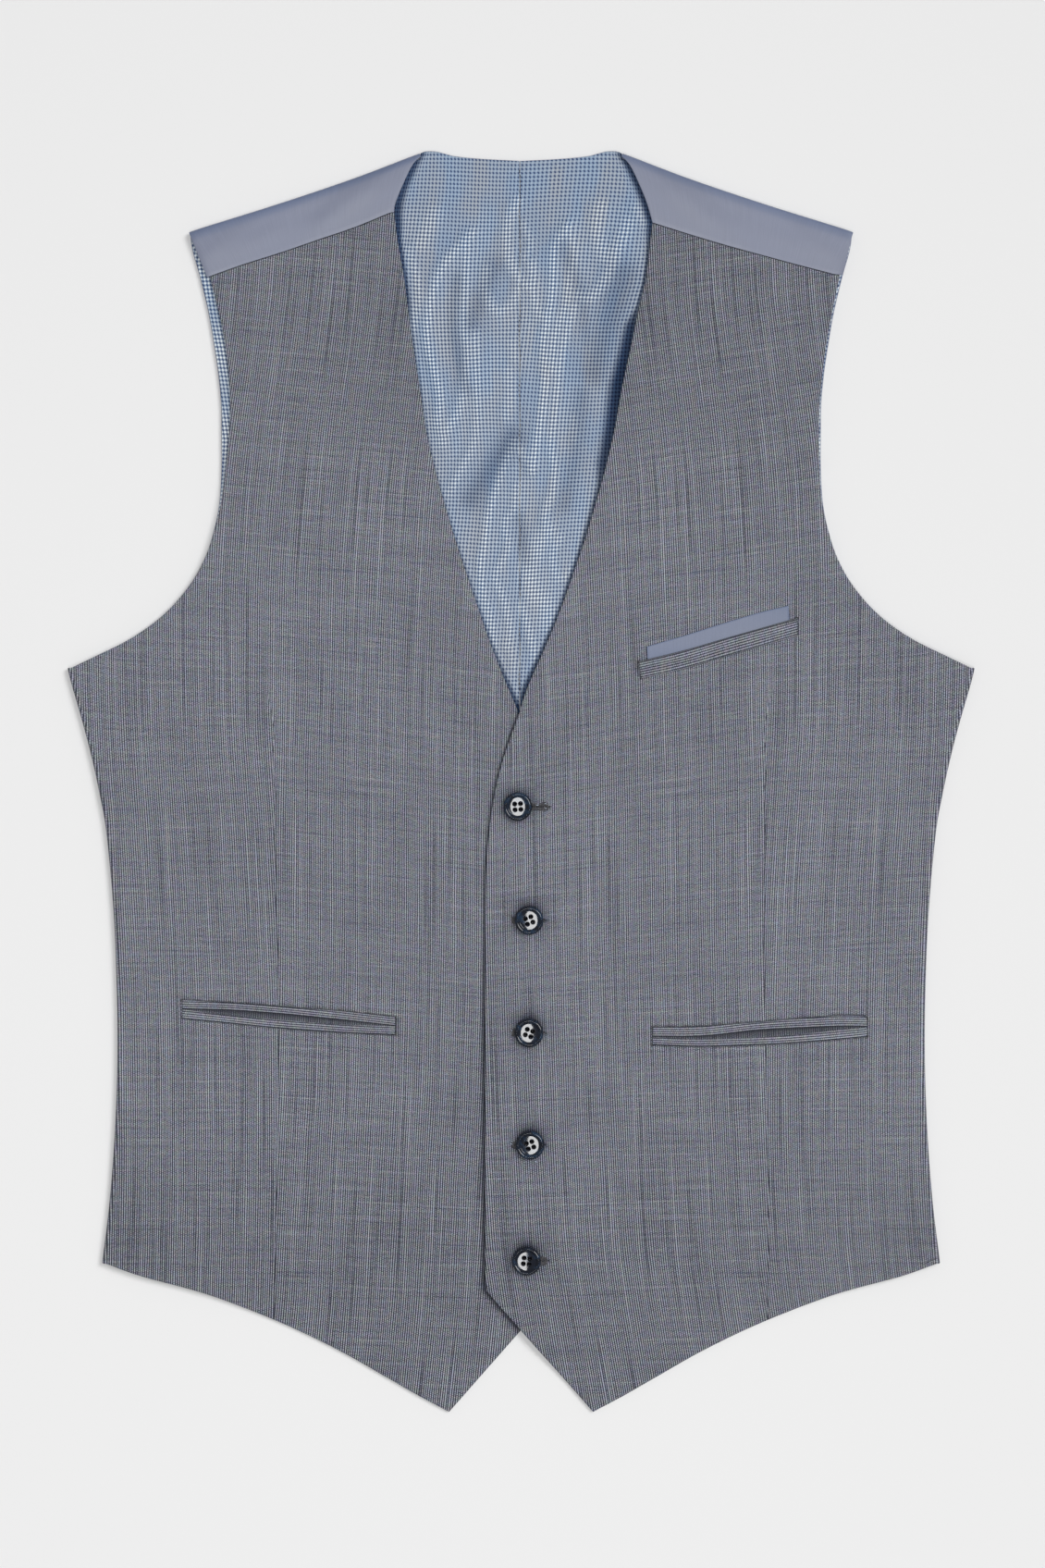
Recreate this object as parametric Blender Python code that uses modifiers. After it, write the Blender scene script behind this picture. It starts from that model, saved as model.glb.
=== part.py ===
"""Suit waistcoat laid flat on its back, buttoned, as the pieces that are cut and sewn.

The wearer's left is +X, the neck is +Y, and the table is z = 0. The origin is under the middle.
The left front laps over the right one. Each front turns under at the side and meets the back
there, and the satin back comes over the shoulder as a strip that meets the front at a seam.
Tables are in millimetres, and MM makes metres of them. Half widths count from the middle.
"""

from collections import namedtuple
from math import cos, pi, sin

import bmesh
import bpy
import numpy as np

MM = 0.001

# Cloth and how it is layered, from the table up
BACK_THICK = 1.0
LINING_THICK = 1.0
FRONT_THICK = 2.0
GAP = 0.3
OVERLAP_SLACK = 0.4
BACK_MID = BACK_THICK / 2
LINING_MID = BACK_THICK + GAP + LINING_THICK / 2
FRONT_MID = BACK_THICK + LINING_THICK + 2 * GAP + FRONT_THICK / 2
FRONT_TOP = FRONT_MID + FRONT_THICK / 2

# Seams, and the levels where the hidden back ends
CENTRE_SEAM_X = -0.75
CHEST_INNER_Y = 36.0
BACK_HEM_CENTRE_Y = -255.0
BACK_HEM_SIDE_Y = -253.0
BACK_HEM_HALF = 225.6
LINING_HEM_RISE = 3.0
LINING_EDGE_INSET = 0.8
LINING_SHOULDER_INSET = 3.0
SHOULDER_SEAM_HALF_GAP = 0.2
V_POINT_STEP = 0.5

# Side fold: the front's cloth turns under by this much
SIDE_FOLD_RADIUS = (FRONT_MID - FRONT_THICK / 2) / 2
SIDE_FOLD_REACH = SIDE_FOLD_RADIUS + FRONT_THICK / 2
TURN_UNDER = 5.0
SIDE_SEAM_INSET = SIDE_FOLD_REACH + TURN_UNDER + GAP

# Shoulder fold of the back
SHOULDER_FOLD_RADIUS = (FRONT_MID - BACK_MID) / 2
SHOULDER_FOLD_REACH = SHOULDER_FOLD_RADIUS + BACK_THICK / 2
SHOULDER_FOLD_Z = (FRONT_MID + BACK_MID) / 2

# Where the fronts come down to the table past the back's hem, and where the lap eases out
DROP = dict(low_y=-296.0, high_y=-262.0)
LAP = dict(full_x=22.0, none_x=50.0, full_y=48.0, none_y=95.0, low_full_y=-299.0, low_none_y=-325.0)

CUTTER_DEPTH = 8.0

# Grid counts
CUTAWAY_COLUMNS = 3
HEM_COLUMNS = 9
NECK_COLUMNS = 3
SHOULDER_COLUMNS = 9
HEM_ROWS = 6
HEM_ROWS_SHARE = 0.225
WAIST_ROWS = 8
LOWER_ROWS = HEM_ROWS + WAIST_ROWS
UPPER_ROWS = 12
FOLD_STEPS = 4
STRIP_ROWS = 3

Half = namedtuple("Half", "y half")
SIDE = [
    Half(-260.5, 226.8), Half(-227.5, 222.8), Half(-187.5, 219.8), Half(-147.5, 218.5),
    Half(-107.5, 219.0), Half(-67.5, 220.8), Half(-27.5, 224.5), Half(-7.5, 228.0),
    Half(12.5, 232.3), Half(32.5, 237.5), Half(52.5, 243.3), Half(61.5, 245.5),
]

Arm = namedtuple("Arm", "y back left_front right_front")
ARMHOLE = [
    Arm(61.5, 245.5, 245.5, 245.5), Arm(67.5, 230.8, 230.8, 230.8), Arm(77.5, 210.8, 210.8, 210.8),
    Arm(90.0, 193.5, 193.5, 193.5), Arm(105.0, 180.0, 180.0, 180.0), Arm(120.0, 171.5, 171.3, 171.3),
    Arm(135.0, 166.6, 166.2, 166.0), Arm(150.0, 163.5, 162.8, 162.3), Arm(168.5, 162.3, 161.3, 159.7),
    Arm(188.0, 162.3, 161.0, 157.8), Arm(204.0, 162.5, 161.4, 157.3), Arm(220.5, 164.0, 162.9, 158.0),
    Arm(238.0, 166.6, 165.2, 160.2), Arm(254.0, 169.4, 168.2, 163.5), Arm(273.0, 173.9, 172.3, 168.3),
]
BACK_ARM_TOP = [Half(287.5, 178.0), Half(297.25, 179.75)]

Vee = namedtuple("Vee", "y left right")
V_EDGE = [
    Vee(38.5, -0.8, 1.8), Vee(52.5, 4.0, 7.8), Vee(72.5, 12.8, 15.8), Vee(92.5, 21.0, 22.8),
    Vee(112.5, 28.1, 29.6), Vee(132.5, 34.9, 36.1), Vee(152.5, 40.8, 42.1), Vee(172.5, 46.3, 47.6),
    Vee(192.5, 50.8, 51.8), Vee(212.5, 54.3, 54.7), Vee(235.0, 59.2, 58.3), Vee(252.5, 62.8, 60.8),
    Vee(272.5, 67.4, 63.3), Vee(292.5, 69.8, 66.8),
]
FRONT_EDGE = [  # below the V, in each front's own half: minus is past the middle
    Half(22.5, -6.3), Half(2.5, -12.8), Half(-16.0, -16.3), Half(-38.0, -18.3),
    Half(-57.5, -19.3), Half(-160.0, -19.5), Half(-270.0, -19.5),
]

Point = namedtuple("Point", "x y")
CUTAWAY = [Point(-19.5, -270.0), Point(-18.0, -275.5), Point(-10.0, -285.3), Point(38.95, -341.0)]
HEM = [
    Point(38.95, -341.0), Point(55.0, -332.5), Point(72.5, -322.5), Point(99.0, -307.5),
    Point(130.5, -292.5), Point(169.0, -277.5), Point(205.5, -267.3), Point(226.8, -260.5),
]
NECKLINE = [Point(0.0, 336.0), Point(20.0, 337.0), Point(35.0, 338.3), Point(51.75, 341.0)]
SHOULDER_FOLD = [
    Point(51.75, 341.0), Point(61.75, 337.5), Point(91.75, 326.0),
    Point(131.75, 312.5), Point(171.75, 300.0), Point(179.75, 297.25),
]

Seam = namedtuple("Seam", "x left_y right_y")
SEAM_ENDS = dict(left=(71.0, 172.3), right=(68.6, 168.3))
STRIP_END_PAST_SEAM = 1.5
SHOULDER_SEAM = [
    Seam(70.0, 302.2, 307.6), Seam(90.0, 295.9, 299.4), Seam(110.0, 289.9, 292.6),
    Seam(130.0, 284.4, 285.7), Seam(150.0, 279.0, 279.4), Seam(170.0, 273.8, 272.3),
]
STRIP_NECK = [Point(51.75, 341.0), Point(58.25, 332.5), Point(63.75, 322.5), Point(68.0, 312.5)]

# Lower pockets: a jetting above and below a mouth, at stations along the pocket
Pocket = namedtuple("Pocket", "x top lip mouth bottom")
LOWER_POCKETS = dict(
    right=[
        Pocket(-183.3, -117.7, -122.5, -123.0, -128.0), Pocket(-156.8, -119.2, -123.3, -126.5, -130.7),
        Pocket(-126.8, -121.5, -125.5, -129.0, -133.7), Pocket(-96.8, -123.8, -128.5, -131.2, -135.7),
        Pocket(-67.8, -127.0, -131.7, -132.2, -137.0),
    ],
    left=[
        Pocket(70.8, -132.5, -137.4, -138.0, -142.5), Pocket(98.3, -131.9, -137.2, -139.3, -143.2),
        Pocket(128.3, -129.7, -134.0, -138.3, -142.3), Pocket(158.3, -127.1, -132.8, -136.0, -140.4),
        Pocket(187.3, -127.0, -132.2, -132.8, -137.5),
    ],
)
JETTING_THICK = 1.2
JETTING_PROUD = 0.5
FACING_THICK = 1.0
POCKET_HALF_GAP = 0.15

# Breast pocket of the left front: a welt over the top of a satin strip
BREAST_WELT = dict(
    bottom=[Point(63.8, 55.8), Point(88.3, 61.0), Point(108.3, 67.0), Point(128.3, 73.0), Point(149.8, 79.3)],
    top=[Point(63.3, 64.3), Point(88.3, 71.0), Point(108.3, 76.8), Point(128.3, 82.5), Point(149.3, 88.5)],
    thick=1.0,
)
SATIN_STRIP = dict(
    bottom=[Point(68.6, 61.9), Point(88.0, 67.2), Point(108.0, 72.9), Point(128.0, 78.6), Point(146.6, 83.9)],
    top=[Point(67.8, 73.0), Point(88.3, 79.0), Point(108.3, 85.3), Point(128.3, 91.5), Point(143.3, 95.0)],
    thick=1.0,
)

WELT_RISE_START = 0.4

# Buttons down the middle, top first, with the turn of the four holes
Fastening = namedtuple("Fastening", "x y turn hole_from hole_to")
FASTENINGS = [
    Fastening(-1.8, -13.5, 4.0, -3.0, 15.0), Fastening(4.3, -74.8, 21.0, -5.0, 13.2),
    Fastening(4.3, -135.5, -20.0, -5.0, 13.0), Fastening(4.8, -196.0, 20.0, -5.0, 13.0),
    Fastening(3.0, -258.5, -8.0, -4.0, 14.0),
]
BUTTONHOLE_WIDTH = 1.8
SHANK_RADIUS = 0.6
BUTTON_STEPS = 20
DRILL_SIDES = 8
BUTTON_HOLE_RADIUS = 1.05
BUTTON_HOLE_PITCH = 2.9
Turned = namedtuple("Turned", "radius z")
BUTTON_PROFILE = [  # down the outside, from the middle of the dish to the middle underneath
    Turned(0.0, 1.8), Turned(3.2, 1.9), Turned(4.7, 2.2), Turned(5.5, 2.8), Turned(6.1, 3.0),
    Turned(6.6, 2.75), Turned(7.2, 2.7), Turned(7.7, 2.1), Turned(7.6, 1.1), Turned(6.6, 0.3),
    Turned(5.4, 0.0), Turned(0.0, 0.0),
]


def clear_scene():
    for obj in list(bpy.data.objects):
        bpy.data.objects.remove(obj, do_unlink=True)


def new_collection(name):
    collection = bpy.data.collections.new(name)
    bpy.context.scene.collection.children.link(collection)
    return collection


def new_material(name, colour, roughness, metallic=0.0):
    material = bpy.data.materials.new(name)
    material.use_nodes = True
    shader = material.node_tree.nodes["Principled BSDF"]
    shader.inputs["Base Color"].default_value = (*colour, 1.0)
    shader.inputs["Roughness"].default_value = roughness
    shader.inputs["Metallic"].default_value = metallic
    return material


# ---- curves and surfaces, in millimetres


def ramp(value, start, end):
    """0 at start, 1 at end, with soft ends."""
    t = min(max((value - start) / (end - start), 0.0), 1.0)
    return t * t * (3 - 2 * t)


def smooth_curve(points, per_span=8):
    """A fine line through the points, as a Catmull-Rom curve."""
    p = np.array(points, float)[:, :2]
    if len(p) == 2:
        return p
    ends = np.vstack([2 * p[0] - p[1], p, 2 * p[-1] - p[-2]])
    fine = [p[0]]
    for a, b, c, d in zip(ends, ends[1:], ends[2:], ends[3:]):
        for t in np.arange(1, per_span + 1) / per_span:
            fine.append(
                0.5 * (2 * b + (c - a) * t + (2 * a - 5 * b + 4 * c - d) * t**2
                       + (3 * b - a - 3 * c + d) * t**3)
            )
    return np.array(fine)


def along(points, fractions):
    """Points at these fractions of the length of the curve through the given points."""
    fine = smooth_curve(points)
    steps = np.hypot(*np.diff(fine, axis=0).T)
    length = np.concatenate([[0.0], np.cumsum(steps)])
    at = np.asarray(fractions) * length[-1]
    return np.stack([np.interp(at, length, fine[:, 0]), np.interp(at, length, fine[:, 1])], axis=1)


def across(points, xs):
    """Points of the curve through the given points, at these x."""
    fine = smooth_curve(points)
    return np.stack([xs, np.interp(xs, fine[:, 0], fine[:, 1])], axis=1)


def even(count):
    return np.linspace(0.0, 1.0, count + 1)


def offset(points, distance):
    """The line moved to its left by the distance."""
    line = np.array(points, float)
    run = np.gradient(line, axis=0)
    run /= np.hypot(run[:, 0], run[:, 1])[:, None]
    return line + distance * np.stack([-run[:, 1], run[:, 0]], axis=1)


def lower_rows():
    """Shares of the way from the hem up to the chest line, closer together at the hem."""
    low = even(HEM_ROWS) * HEM_ROWS_SHARE
    return np.concatenate([low[:-1], HEM_ROWS_SHARE + even(WAIST_ROWS) * (1 - HEM_ROWS_SHARE)])


def patch(bottom, top, inner, outer, shares, row_shares):
    """Coons patch: rows of points between four edges that share their corners."""
    u = np.asarray(shares)[None, :, None]
    v = np.asarray(row_shares)[:, None, None]
    inner, outer = along(inner, row_shares), along(outer, row_shares)
    bottom, top = bottom[None], top[None]
    inner, outer = inner[:, None], outer[:, None]
    corners = (
        (1 - u) * (1 - v) * bottom[:, :1] + u * (1 - v) * bottom[:, -1:]
        + (1 - u) * v * top[:, :1] + u * v * top[:, -1:]
    )
    return (1 - v) * bottom + v * top + (1 - u) * inner + u * outer - corners


def cloth_object(name, grid, thick, material, collection, missing=()):
    """Solid cloth of the given thickness on a grid of points, rows first, in millimetres.

    missing lists the grid's points that aren't there, as (row, column).
    """
    rows, columns = len(grid), len(grid[0])
    bm = bmesh.new()
    bmesh.ops.create_grid(bm, x_segments=columns - 1, y_segments=rows - 1, size=0.5)
    gone = []
    for vert in bm.verts:
        column = round((vert.co.x + 0.5) * (columns - 1))
        row = round((vert.co.y + 0.5) * (rows - 1))
        vert.co = [c * MM for c in grid[row][column]]
        if (row, column) in missing:
            gone.append(vert)
    bmesh.ops.delete(bm, geom=gone, context="VERTS")
    mesh = bpy.data.meshes.new(name)
    bm.to_mesh(mesh)
    bm.free()
    obj = bpy.data.objects.new(name, mesh)
    obj.data.materials.append(material)
    collection.objects.link(obj)
    if sum(p.normal.z * p.area for p in mesh.polygons) < 0:
        mesh.flip_normals()
    solidify = obj.modifiers.new("Cloth", "SOLIDIFY")
    solidify.thickness = thick * MM
    solidify.offset = 0.0
    solidify.use_even_offset = True
    return obj


def cut(obj, cutter, name):
    cutter.hide_render = True
    cutter.display_type = "WIRE"
    boolean = obj.modifiers.new(name, "BOOLEAN")
    boolean.operation = "DIFFERENCE"
    boolean.solver = "EXACT"
    boolean.object = cutter


def mirrored(points, side):
    return [(side * p[0], *p[1:]) for p in points]


# ---- fronts


def front_mid(x, y, over):
    """Height of the middle of a front's cloth, with x towards its own side."""
    lying = FRONT_MID - FRONT_THICK / 2
    z = FRONT_THICK / 2 + lying * ramp(y, DROP["low_y"], DROP["high_y"])
    if over:
        lap = 1 - ramp(x, LAP["full_x"], LAP["none_x"])
        lap *= 1 - ramp(y, LAP["full_y"], LAP["none_y"])
        lap *= ramp(y, LAP["low_none_y"], LAP["low_full_y"])
        z += lap * (FRONT_THICK + GAP + OVERLAP_SLACK)
    return z


def chest_line(inner_x, outer, shares):
    inner = np.array([inner_x, CHEST_INNER_Y])
    return inner + np.asarray(shares)[:, None] * (np.asarray(outer) - inner)


def make_front(name, over, material, collection):
    arm = [Point(row.left_front if over else row.right_front, row.y) for row in ARMHOLE]
    vee = [Point(row.left if over else row.right, row.y) for row in V_EDGE]
    seam_y = [row.left_y if over else row.right_y for row in SHOULDER_SEAM]
    seam = [Point(row.x, y - SHOULDER_SEAM_HALF_GAP) for row, y in zip(SHOULDER_SEAM, seam_y)]
    chest_x = vee[0].x - V_POINT_STEP
    side = [Point(row.half - SIDE_FOLD_REACH, row.y) for row in SIDE]

    tip_share = (HEM[0].x - CUTAWAY[0].x) / (HEM[-1].x - CUTAWAY[0].x)
    cutaway = even(CUTAWAY_COLUMNS) * tip_share
    shares = np.concatenate([cutaway[:-1], tip_share + even(HEM_COLUMNS) * (1 - tip_share)])

    left_of_tip = along(CUTAWAY, even(CUTAWAY_COLUMNS))[:-1]
    hem_to_fold = HEM[:-1] + [Point(side[0].x, HEM[-1].y)]
    hem = np.concatenate([left_of_tip, along(hem_to_fold, even(HEM_COLUMNS))])
    chest = chest_line(chest_x, side[-1][:2], shares)
    edge = [Point(row.half, row.y) for row in reversed(FRONT_EDGE)] + [Point(chest_x, CHEST_INNER_Y)]
    lower = patch(hem, chest, edge, side, shares, lower_rows())

    seam_from, seam_to = SEAM_ENDS["left" if over else "right"]
    top = across(seam, seam_from + shares * (seam_to - seam_from))
    neck = [Point(chest_x, CHEST_INNER_Y)] + vee + [Point(*top[0])]
    armhole = [Point(*chest[-1])] + arm[1:-1] + [Point(*top[-1])]
    upper = patch(chest, top, neck, armhole, shares, even(UPPER_ROWS))

    flat = np.concatenate([lower, upper[1:]])
    grid = []
    missing = set()
    for row, line in enumerate(flat):
        points = [(x, y, front_mid(x, y, over)) for x, y in line]
        x_end, y_end, z_end = points[-1]
        for step in range(1, FOLD_STEPS + 1):
            turn = pi * step / FOLD_STEPS
            points.append((
                x_end + SIDE_FOLD_RADIUS * sin(turn), y_end,
                z_end - SIDE_FOLD_RADIUS * (1 - cos(turn)),
            ))
        points.append((x_end - TURN_UNDER, y_end, points[-1][2]))
        if row > LOWER_ROWS:
            missing |= {(row, len(line) + extra) for extra in range(FOLD_STEPS + 1)}
        grid.append(mirrored(points, 1 if over else -1))
    return cloth_object(name, grid, FRONT_THICK, material, collection, missing)


# ---- back and lining


def back_columns():
    """Shares of a half's width at its columns, with one on the neck point."""
    neck_share = NECKLINE[-1].x / SHOULDER_FOLD[-1].x
    neck = even(NECK_COLUMNS) * neck_share
    return np.concatenate([neck[:-1], neck_share + even(SHOULDER_COLUMNS) * (1 - neck_share)])


def back_flat(side, edge_inset, shoulder_inset, hem_rise):
    """Rows of points of one half of the back, seen from above, with x towards its own side."""
    shares = back_columns()
    seam_x = side * CENTRE_SEAM_X + GAP / 2
    arm = [Point(row.back, row.y) for row in ARMHOLE] + [Point(row.half, row.y) for row in BACK_ARM_TOP]
    arm = [Point(*p) for p in offset(arm, edge_inset)]
    sides = [Point(row.half - SIDE_SEAM_INSET, row.y) for row in SIDE[1:]]
    sides.insert(0, Point(BACK_HEM_HALF - SIDE_SEAM_INSET, BACK_HEM_SIDE_Y + hem_rise))

    neck = along(NECKLINE, even(NECK_COLUMNS)) - [0.0, edge_inset]
    neck[0, 0] = seam_x
    fold = offset(along(SHOULDER_FOLD, even(SHOULDER_COLUMNS)), -shoulder_inset)
    fold[-1] = fold[-1] - [edge_inset, 0.0]
    top = np.concatenate([neck[:-1], fold])
    chest = chest_line(seam_x, sides[-1][:2], shares)
    hem_ends = np.array([[seam_x, BACK_HEM_CENTRE_Y + hem_rise], sides[0][:2]])
    hem = hem_ends[0] + shares[:, None] * (hem_ends[1] - hem_ends[0])

    centre = [np.array([seam_x, y]) for y in (hem[0, 1], CHEST_INNER_Y, top[0, 1])]
    lower = patch(hem, chest, centre[:2], sides, shares, lower_rows())
    armhole = [Point(*chest[-1])] + arm[1:-1] + [Point(*top[-1])]
    upper = patch(chest, top, centre[1:], armhole, shares, even(UPPER_ROWS))
    return np.concatenate([lower, upper[1:]])


def strip_flat(side):
    """Rows of the shoulder strip from the fold's axis down to its seam, seen from above."""
    fold = offset(along(SHOULDER_FOLD, even(SHOULDER_COLUMNS)), -SHOULDER_FOLD_REACH)
    seam_y = [row.left_y if side > 0 else row.right_y for row in SHOULDER_SEAM]
    seam = [Point(row.x, y + SHOULDER_SEAM_HALF_GAP) for row, y in zip(SHOULDER_SEAM, seam_y)]
    seam_from, seam_to = SEAM_ENDS["left" if side > 0 else "right"]
    fractions = even(SHOULDER_COLUMNS)
    bottom = across(seam, seam_from + fractions * (seam_to + STRIP_END_PAST_SEAM - seam_from))
    neck = [Point(*fold[0])] + STRIP_NECK[1:] + [Point(*bottom[0])]
    outer = [Point(*fold[-1]), Point(*bottom[-1])]
    return patch(fold, bottom, neck, outer, fractions, even(STRIP_ROWS))


def make_back(name, side, material, collection):
    flat = back_flat(side, 0.0, SHOULDER_FOLD_REACH, 0.0)
    grid = [[(x, y, BACK_MID) for x, y in line] for line in flat]
    axis = flat[-1, NECK_COLUMNS:]
    out = offset(axis, 1.0) - axis
    blank = [(0.0, 0.0, 0.0)] * NECK_COLUMNS
    for step in range(1, FOLD_STEPS + 1):
        turn = pi * step / FOLD_STEPS
        z = SHOULDER_FOLD_Z - SHOULDER_FOLD_RADIUS * cos(turn)
        line = axis + out * SHOULDER_FOLD_RADIUS * sin(turn)
        grid.append(blank + [(x, y, z) for x, y in line])
    for line in strip_flat(side)[1:]:
        grid.append(blank + [(x, y, FRONT_MID) for x, y in line])
    missing = {
        (row, column)
        for row in range(len(flat), len(grid))
        for column in range(NECK_COLUMNS)
    }
    grid = [mirrored(line, side) for line in grid]
    return cloth_object(name, grid, BACK_THICK, material, collection, missing)


def make_lining(name, side, material, collection):
    flat = back_flat(side, LINING_EDGE_INSET, LINING_SHOULDER_INSET, LINING_HEM_RISE)
    grid = [mirrored([(x, y, LINING_MID) for x, y in line], side) for line in flat]
    return cloth_object(name, grid, LINING_THICK, material, collection)


# ---- pockets


def strip_grid(bottom, top, heights):
    """Rows between two edges, evenly apart, one for each height."""
    rows = []
    for share, z in zip(even(len(heights) - 1), heights):
        rows.append([
            (a[0] + share * (b[0] - a[0]), a[1] + share * (b[1] - a[1]), z)
            for a, b in zip(bottom, top)
        ])
    return rows


def shrink_ends(points, inset):
    """The edge with its two end points pulled in along x."""
    toward = 1 if points[-1][0] > points[0][0] else -1
    ends = {0: toward * inset, len(points) - 1: -toward * inset}
    return [(p[0] + ends.get(i, 0.0), *p[1:]) for i, p in enumerate(points)]


def make_lower_pocket(side_name, front, cloth, collection, cutters):
    stations = LOWER_POCKETS[side_name]
    tops = [(s.x, s.top) for s in stations]
    bottoms = [(s.x, s.bottom) for s in stations]
    slot = strip_grid(
        [(x, y - POCKET_HALF_GAP) for x, y in shrink_ends(bottoms, -POCKET_HALF_GAP)],
        [(x, y + POCKET_HALF_GAP) for x, y in shrink_ends(tops, -POCKET_HALF_GAP)],
        (FRONT_MID, FRONT_MID),
    )
    cutter = cloth_object(f"pocket_slot_{side_name}", slot, CUTTER_DEPTH, cloth, cutters)
    cut(front, cutter, "Pocket slot")

    jetting_z = FRONT_TOP + JETTING_PROUD - JETTING_THICK / 2
    inset = POCKET_HALF_GAP
    upper = strip_grid(
        shrink_ends([(s.x, s.lip) for s in stations], inset),
        shrink_ends([(s.x, s.top - inset) for s in stations], inset),
        (jetting_z, jetting_z),
    )
    lower = strip_grid(
        shrink_ends([(s.x, s.bottom + inset) for s in stations], inset),
        shrink_ends([(s.x, s.mouth) for s in stations], inset),
        (jetting_z, jetting_z),
    )
    facing_z = FRONT_TOP - FRONT_THICK + FACING_THICK / 2
    facing = strip_grid(
        shrink_ends([(x, y + inset) for x, y in bottoms], inset),
        shrink_ends([(x, y - inset) for x, y in tops], inset),
        (facing_z, facing_z),
    )
    cloth_object(f"pocket_{side_name}_upper_jetting", upper, JETTING_THICK, cloth, collection)
    cloth_object(f"pocket_{side_name}_lower_jetting", lower, JETTING_THICK, cloth, collection)
    cloth_object(f"pocket_{side_name}_facing", facing, FACING_THICK, cloth, collection)


def make_breast_pocket(cloth, satin, collection):
    strip_z = FRONT_TOP + GAP + SATIN_STRIP["thick"] / 2
    strip = strip_grid(SATIN_STRIP["bottom"], SATIN_STRIP["top"], (strip_z, strip_z))
    cloth_object("breast_pocket_satin", strip, SATIN_STRIP["thick"], satin, collection)
    low = FRONT_TOP + GAP + BREAST_WELT["thick"] / 2
    high = low + SATIN_STRIP["thick"] + GAP
    heights = (low, low + WELT_RISE_START, high, high, high)
    welt = strip_grid(BREAST_WELT["bottom"], BREAST_WELT["top"], heights)
    cloth_object("breast_pocket_welt", welt, BREAST_WELT["thick"], cloth, collection)


# ---- buttons


def make_button(number, place, material, collection, cutters):
    z = front_mid(place.x, place.y, True) + FRONT_THICK / 2 + GAP
    bm = bmesh.new()
    points = [bm.verts.new((p.radius * MM, 0.0, p.z * MM)) for p in BUTTON_PROFILE]
    for a, b in zip(points, points[1:]):
        bm.edges.new((a, b))
    mesh = bpy.data.meshes.new(f"button_{number}")
    bm.to_mesh(mesh)
    bm.free()
    button = bpy.data.objects.new(f"button_{number}", mesh)
    collection.objects.link(button)
    button.location = (place.x * MM, place.y * MM, z * MM)
    button.rotation_euler.z = np.radians(place.turn)
    button.data.materials.append(material)
    screw = button.modifiers.new("Turn", "SCREW")
    screw.steps = screw.render_steps = BUTTON_STEPS
    screw.use_merge_vertices = True
    screw.merge_threshold = 1e-5

    bm = bmesh.new()
    for across_x in (-0.5, 0.5):
        for up_y in (-0.5, 0.5):
            hole = bmesh.ops.create_cone(
                bm, cap_ends=True, segments=DRILL_SIDES, depth=CUTTER_DEPTH * MM,
                radius1=BUTTON_HOLE_RADIUS * MM, radius2=BUTTON_HOLE_RADIUS * MM,
            )
            shift = (across_x * BUTTON_HOLE_PITCH * MM, up_y * BUTTON_HOLE_PITCH * MM, 0.0)
            bmesh.ops.translate(bm, verts=hole["verts"], vec=shift)
    drill_mesh = bpy.data.meshes.new(f"button_drill_{number}")
    bm.to_mesh(drill_mesh)
    bm.free()
    drill = bpy.data.objects.new(f"button_drill_{number}", drill_mesh)
    cutters.objects.link(drill)
    drill.location = button.location
    drill.rotation_euler = button.rotation_euler
    cut(button, drill, "Four holes")


def make_shank(number, place, material, collection):
    low = front_mid(-place.x, place.y, False) + FRONT_THICK / 2 + GAP
    high = front_mid(place.x, place.y, True) + FRONT_THICK / 2
    bm = bmesh.new()
    bmesh.ops.create_cone(
        bm, cap_ends=True, segments=DRILL_SIDES, depth=(high - low) * MM,
        radius1=SHANK_RADIUS * MM, radius2=SHANK_RADIUS * MM,
    )
    mesh = bpy.data.meshes.new(f"button_shank_{number}")
    bm.to_mesh(mesh)
    bm.free()
    shank = bpy.data.objects.new(f"button_shank_{number}", mesh)
    shank.location = (place.x * MM, place.y * MM, (low + high) / 2 * MM)
    shank.data.materials.append(material)
    collection.objects.link(shank)


def cut_buttonhole(number, place, front, cutters):
    length = place.hole_to - place.hole_from
    bm = bmesh.new()
    bmesh.ops.create_cube(bm, size=1.0)
    bmesh.ops.scale(bm, verts=bm.verts, vec=(length * MM, BUTTONHOLE_WIDTH * MM, CUTTER_DEPTH * MM))
    mesh = bpy.data.meshes.new(f"buttonhole_{number}")
    bm.to_mesh(mesh)
    bm.free()
    slot = bpy.data.objects.new(f"buttonhole_{number}", mesh)
    middle = (place.hole_from + place.hole_to) / 2
    slot.location = (middle * MM, place.y * MM, front_mid(middle, place.y, True) * MM)
    cutters.objects.link(slot)
    cut(front, slot, f"Buttonhole {number}")


def main():
    clear_scene()
    garment = new_collection("waistcoat")
    cutters = new_collection("cutters")
    cutters.hide_render = True
    worsted = new_material("worsted", (0.18, 0.185, 0.215), 0.85)
    satin = new_material("satin", (0.26, 0.29, 0.37), 0.45)
    dobby = new_material("dobby_lining", (0.27, 0.33, 0.43), 0.5)
    horn = new_material("button", (0.012, 0.018, 0.035), 0.15)
    thread = new_material("thread", (0.02, 0.02, 0.025), 0.8)

    for side, name in ((1, "left"), (-1, "right")):
        make_back(f"back_{name}", side, satin, garment)
        make_lining(f"lining_{name}", side, dobby, garment)
    front_left = make_front("front_left", True, worsted, garment)
    front_right = make_front("front_right", False, worsted, garment)
    make_lower_pocket("left", front_left, worsted, garment, cutters)
    make_lower_pocket("right", front_right, worsted, garment, cutters)
    make_breast_pocket(worsted, satin, garment)
    for number, place in enumerate(FASTENINGS, 1):
        cut_buttonhole(number, place, front_left, cutters)
        make_shank(number, place, thread, garment)
        make_button(number, place, horn, garment, cutters)


main()
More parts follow.
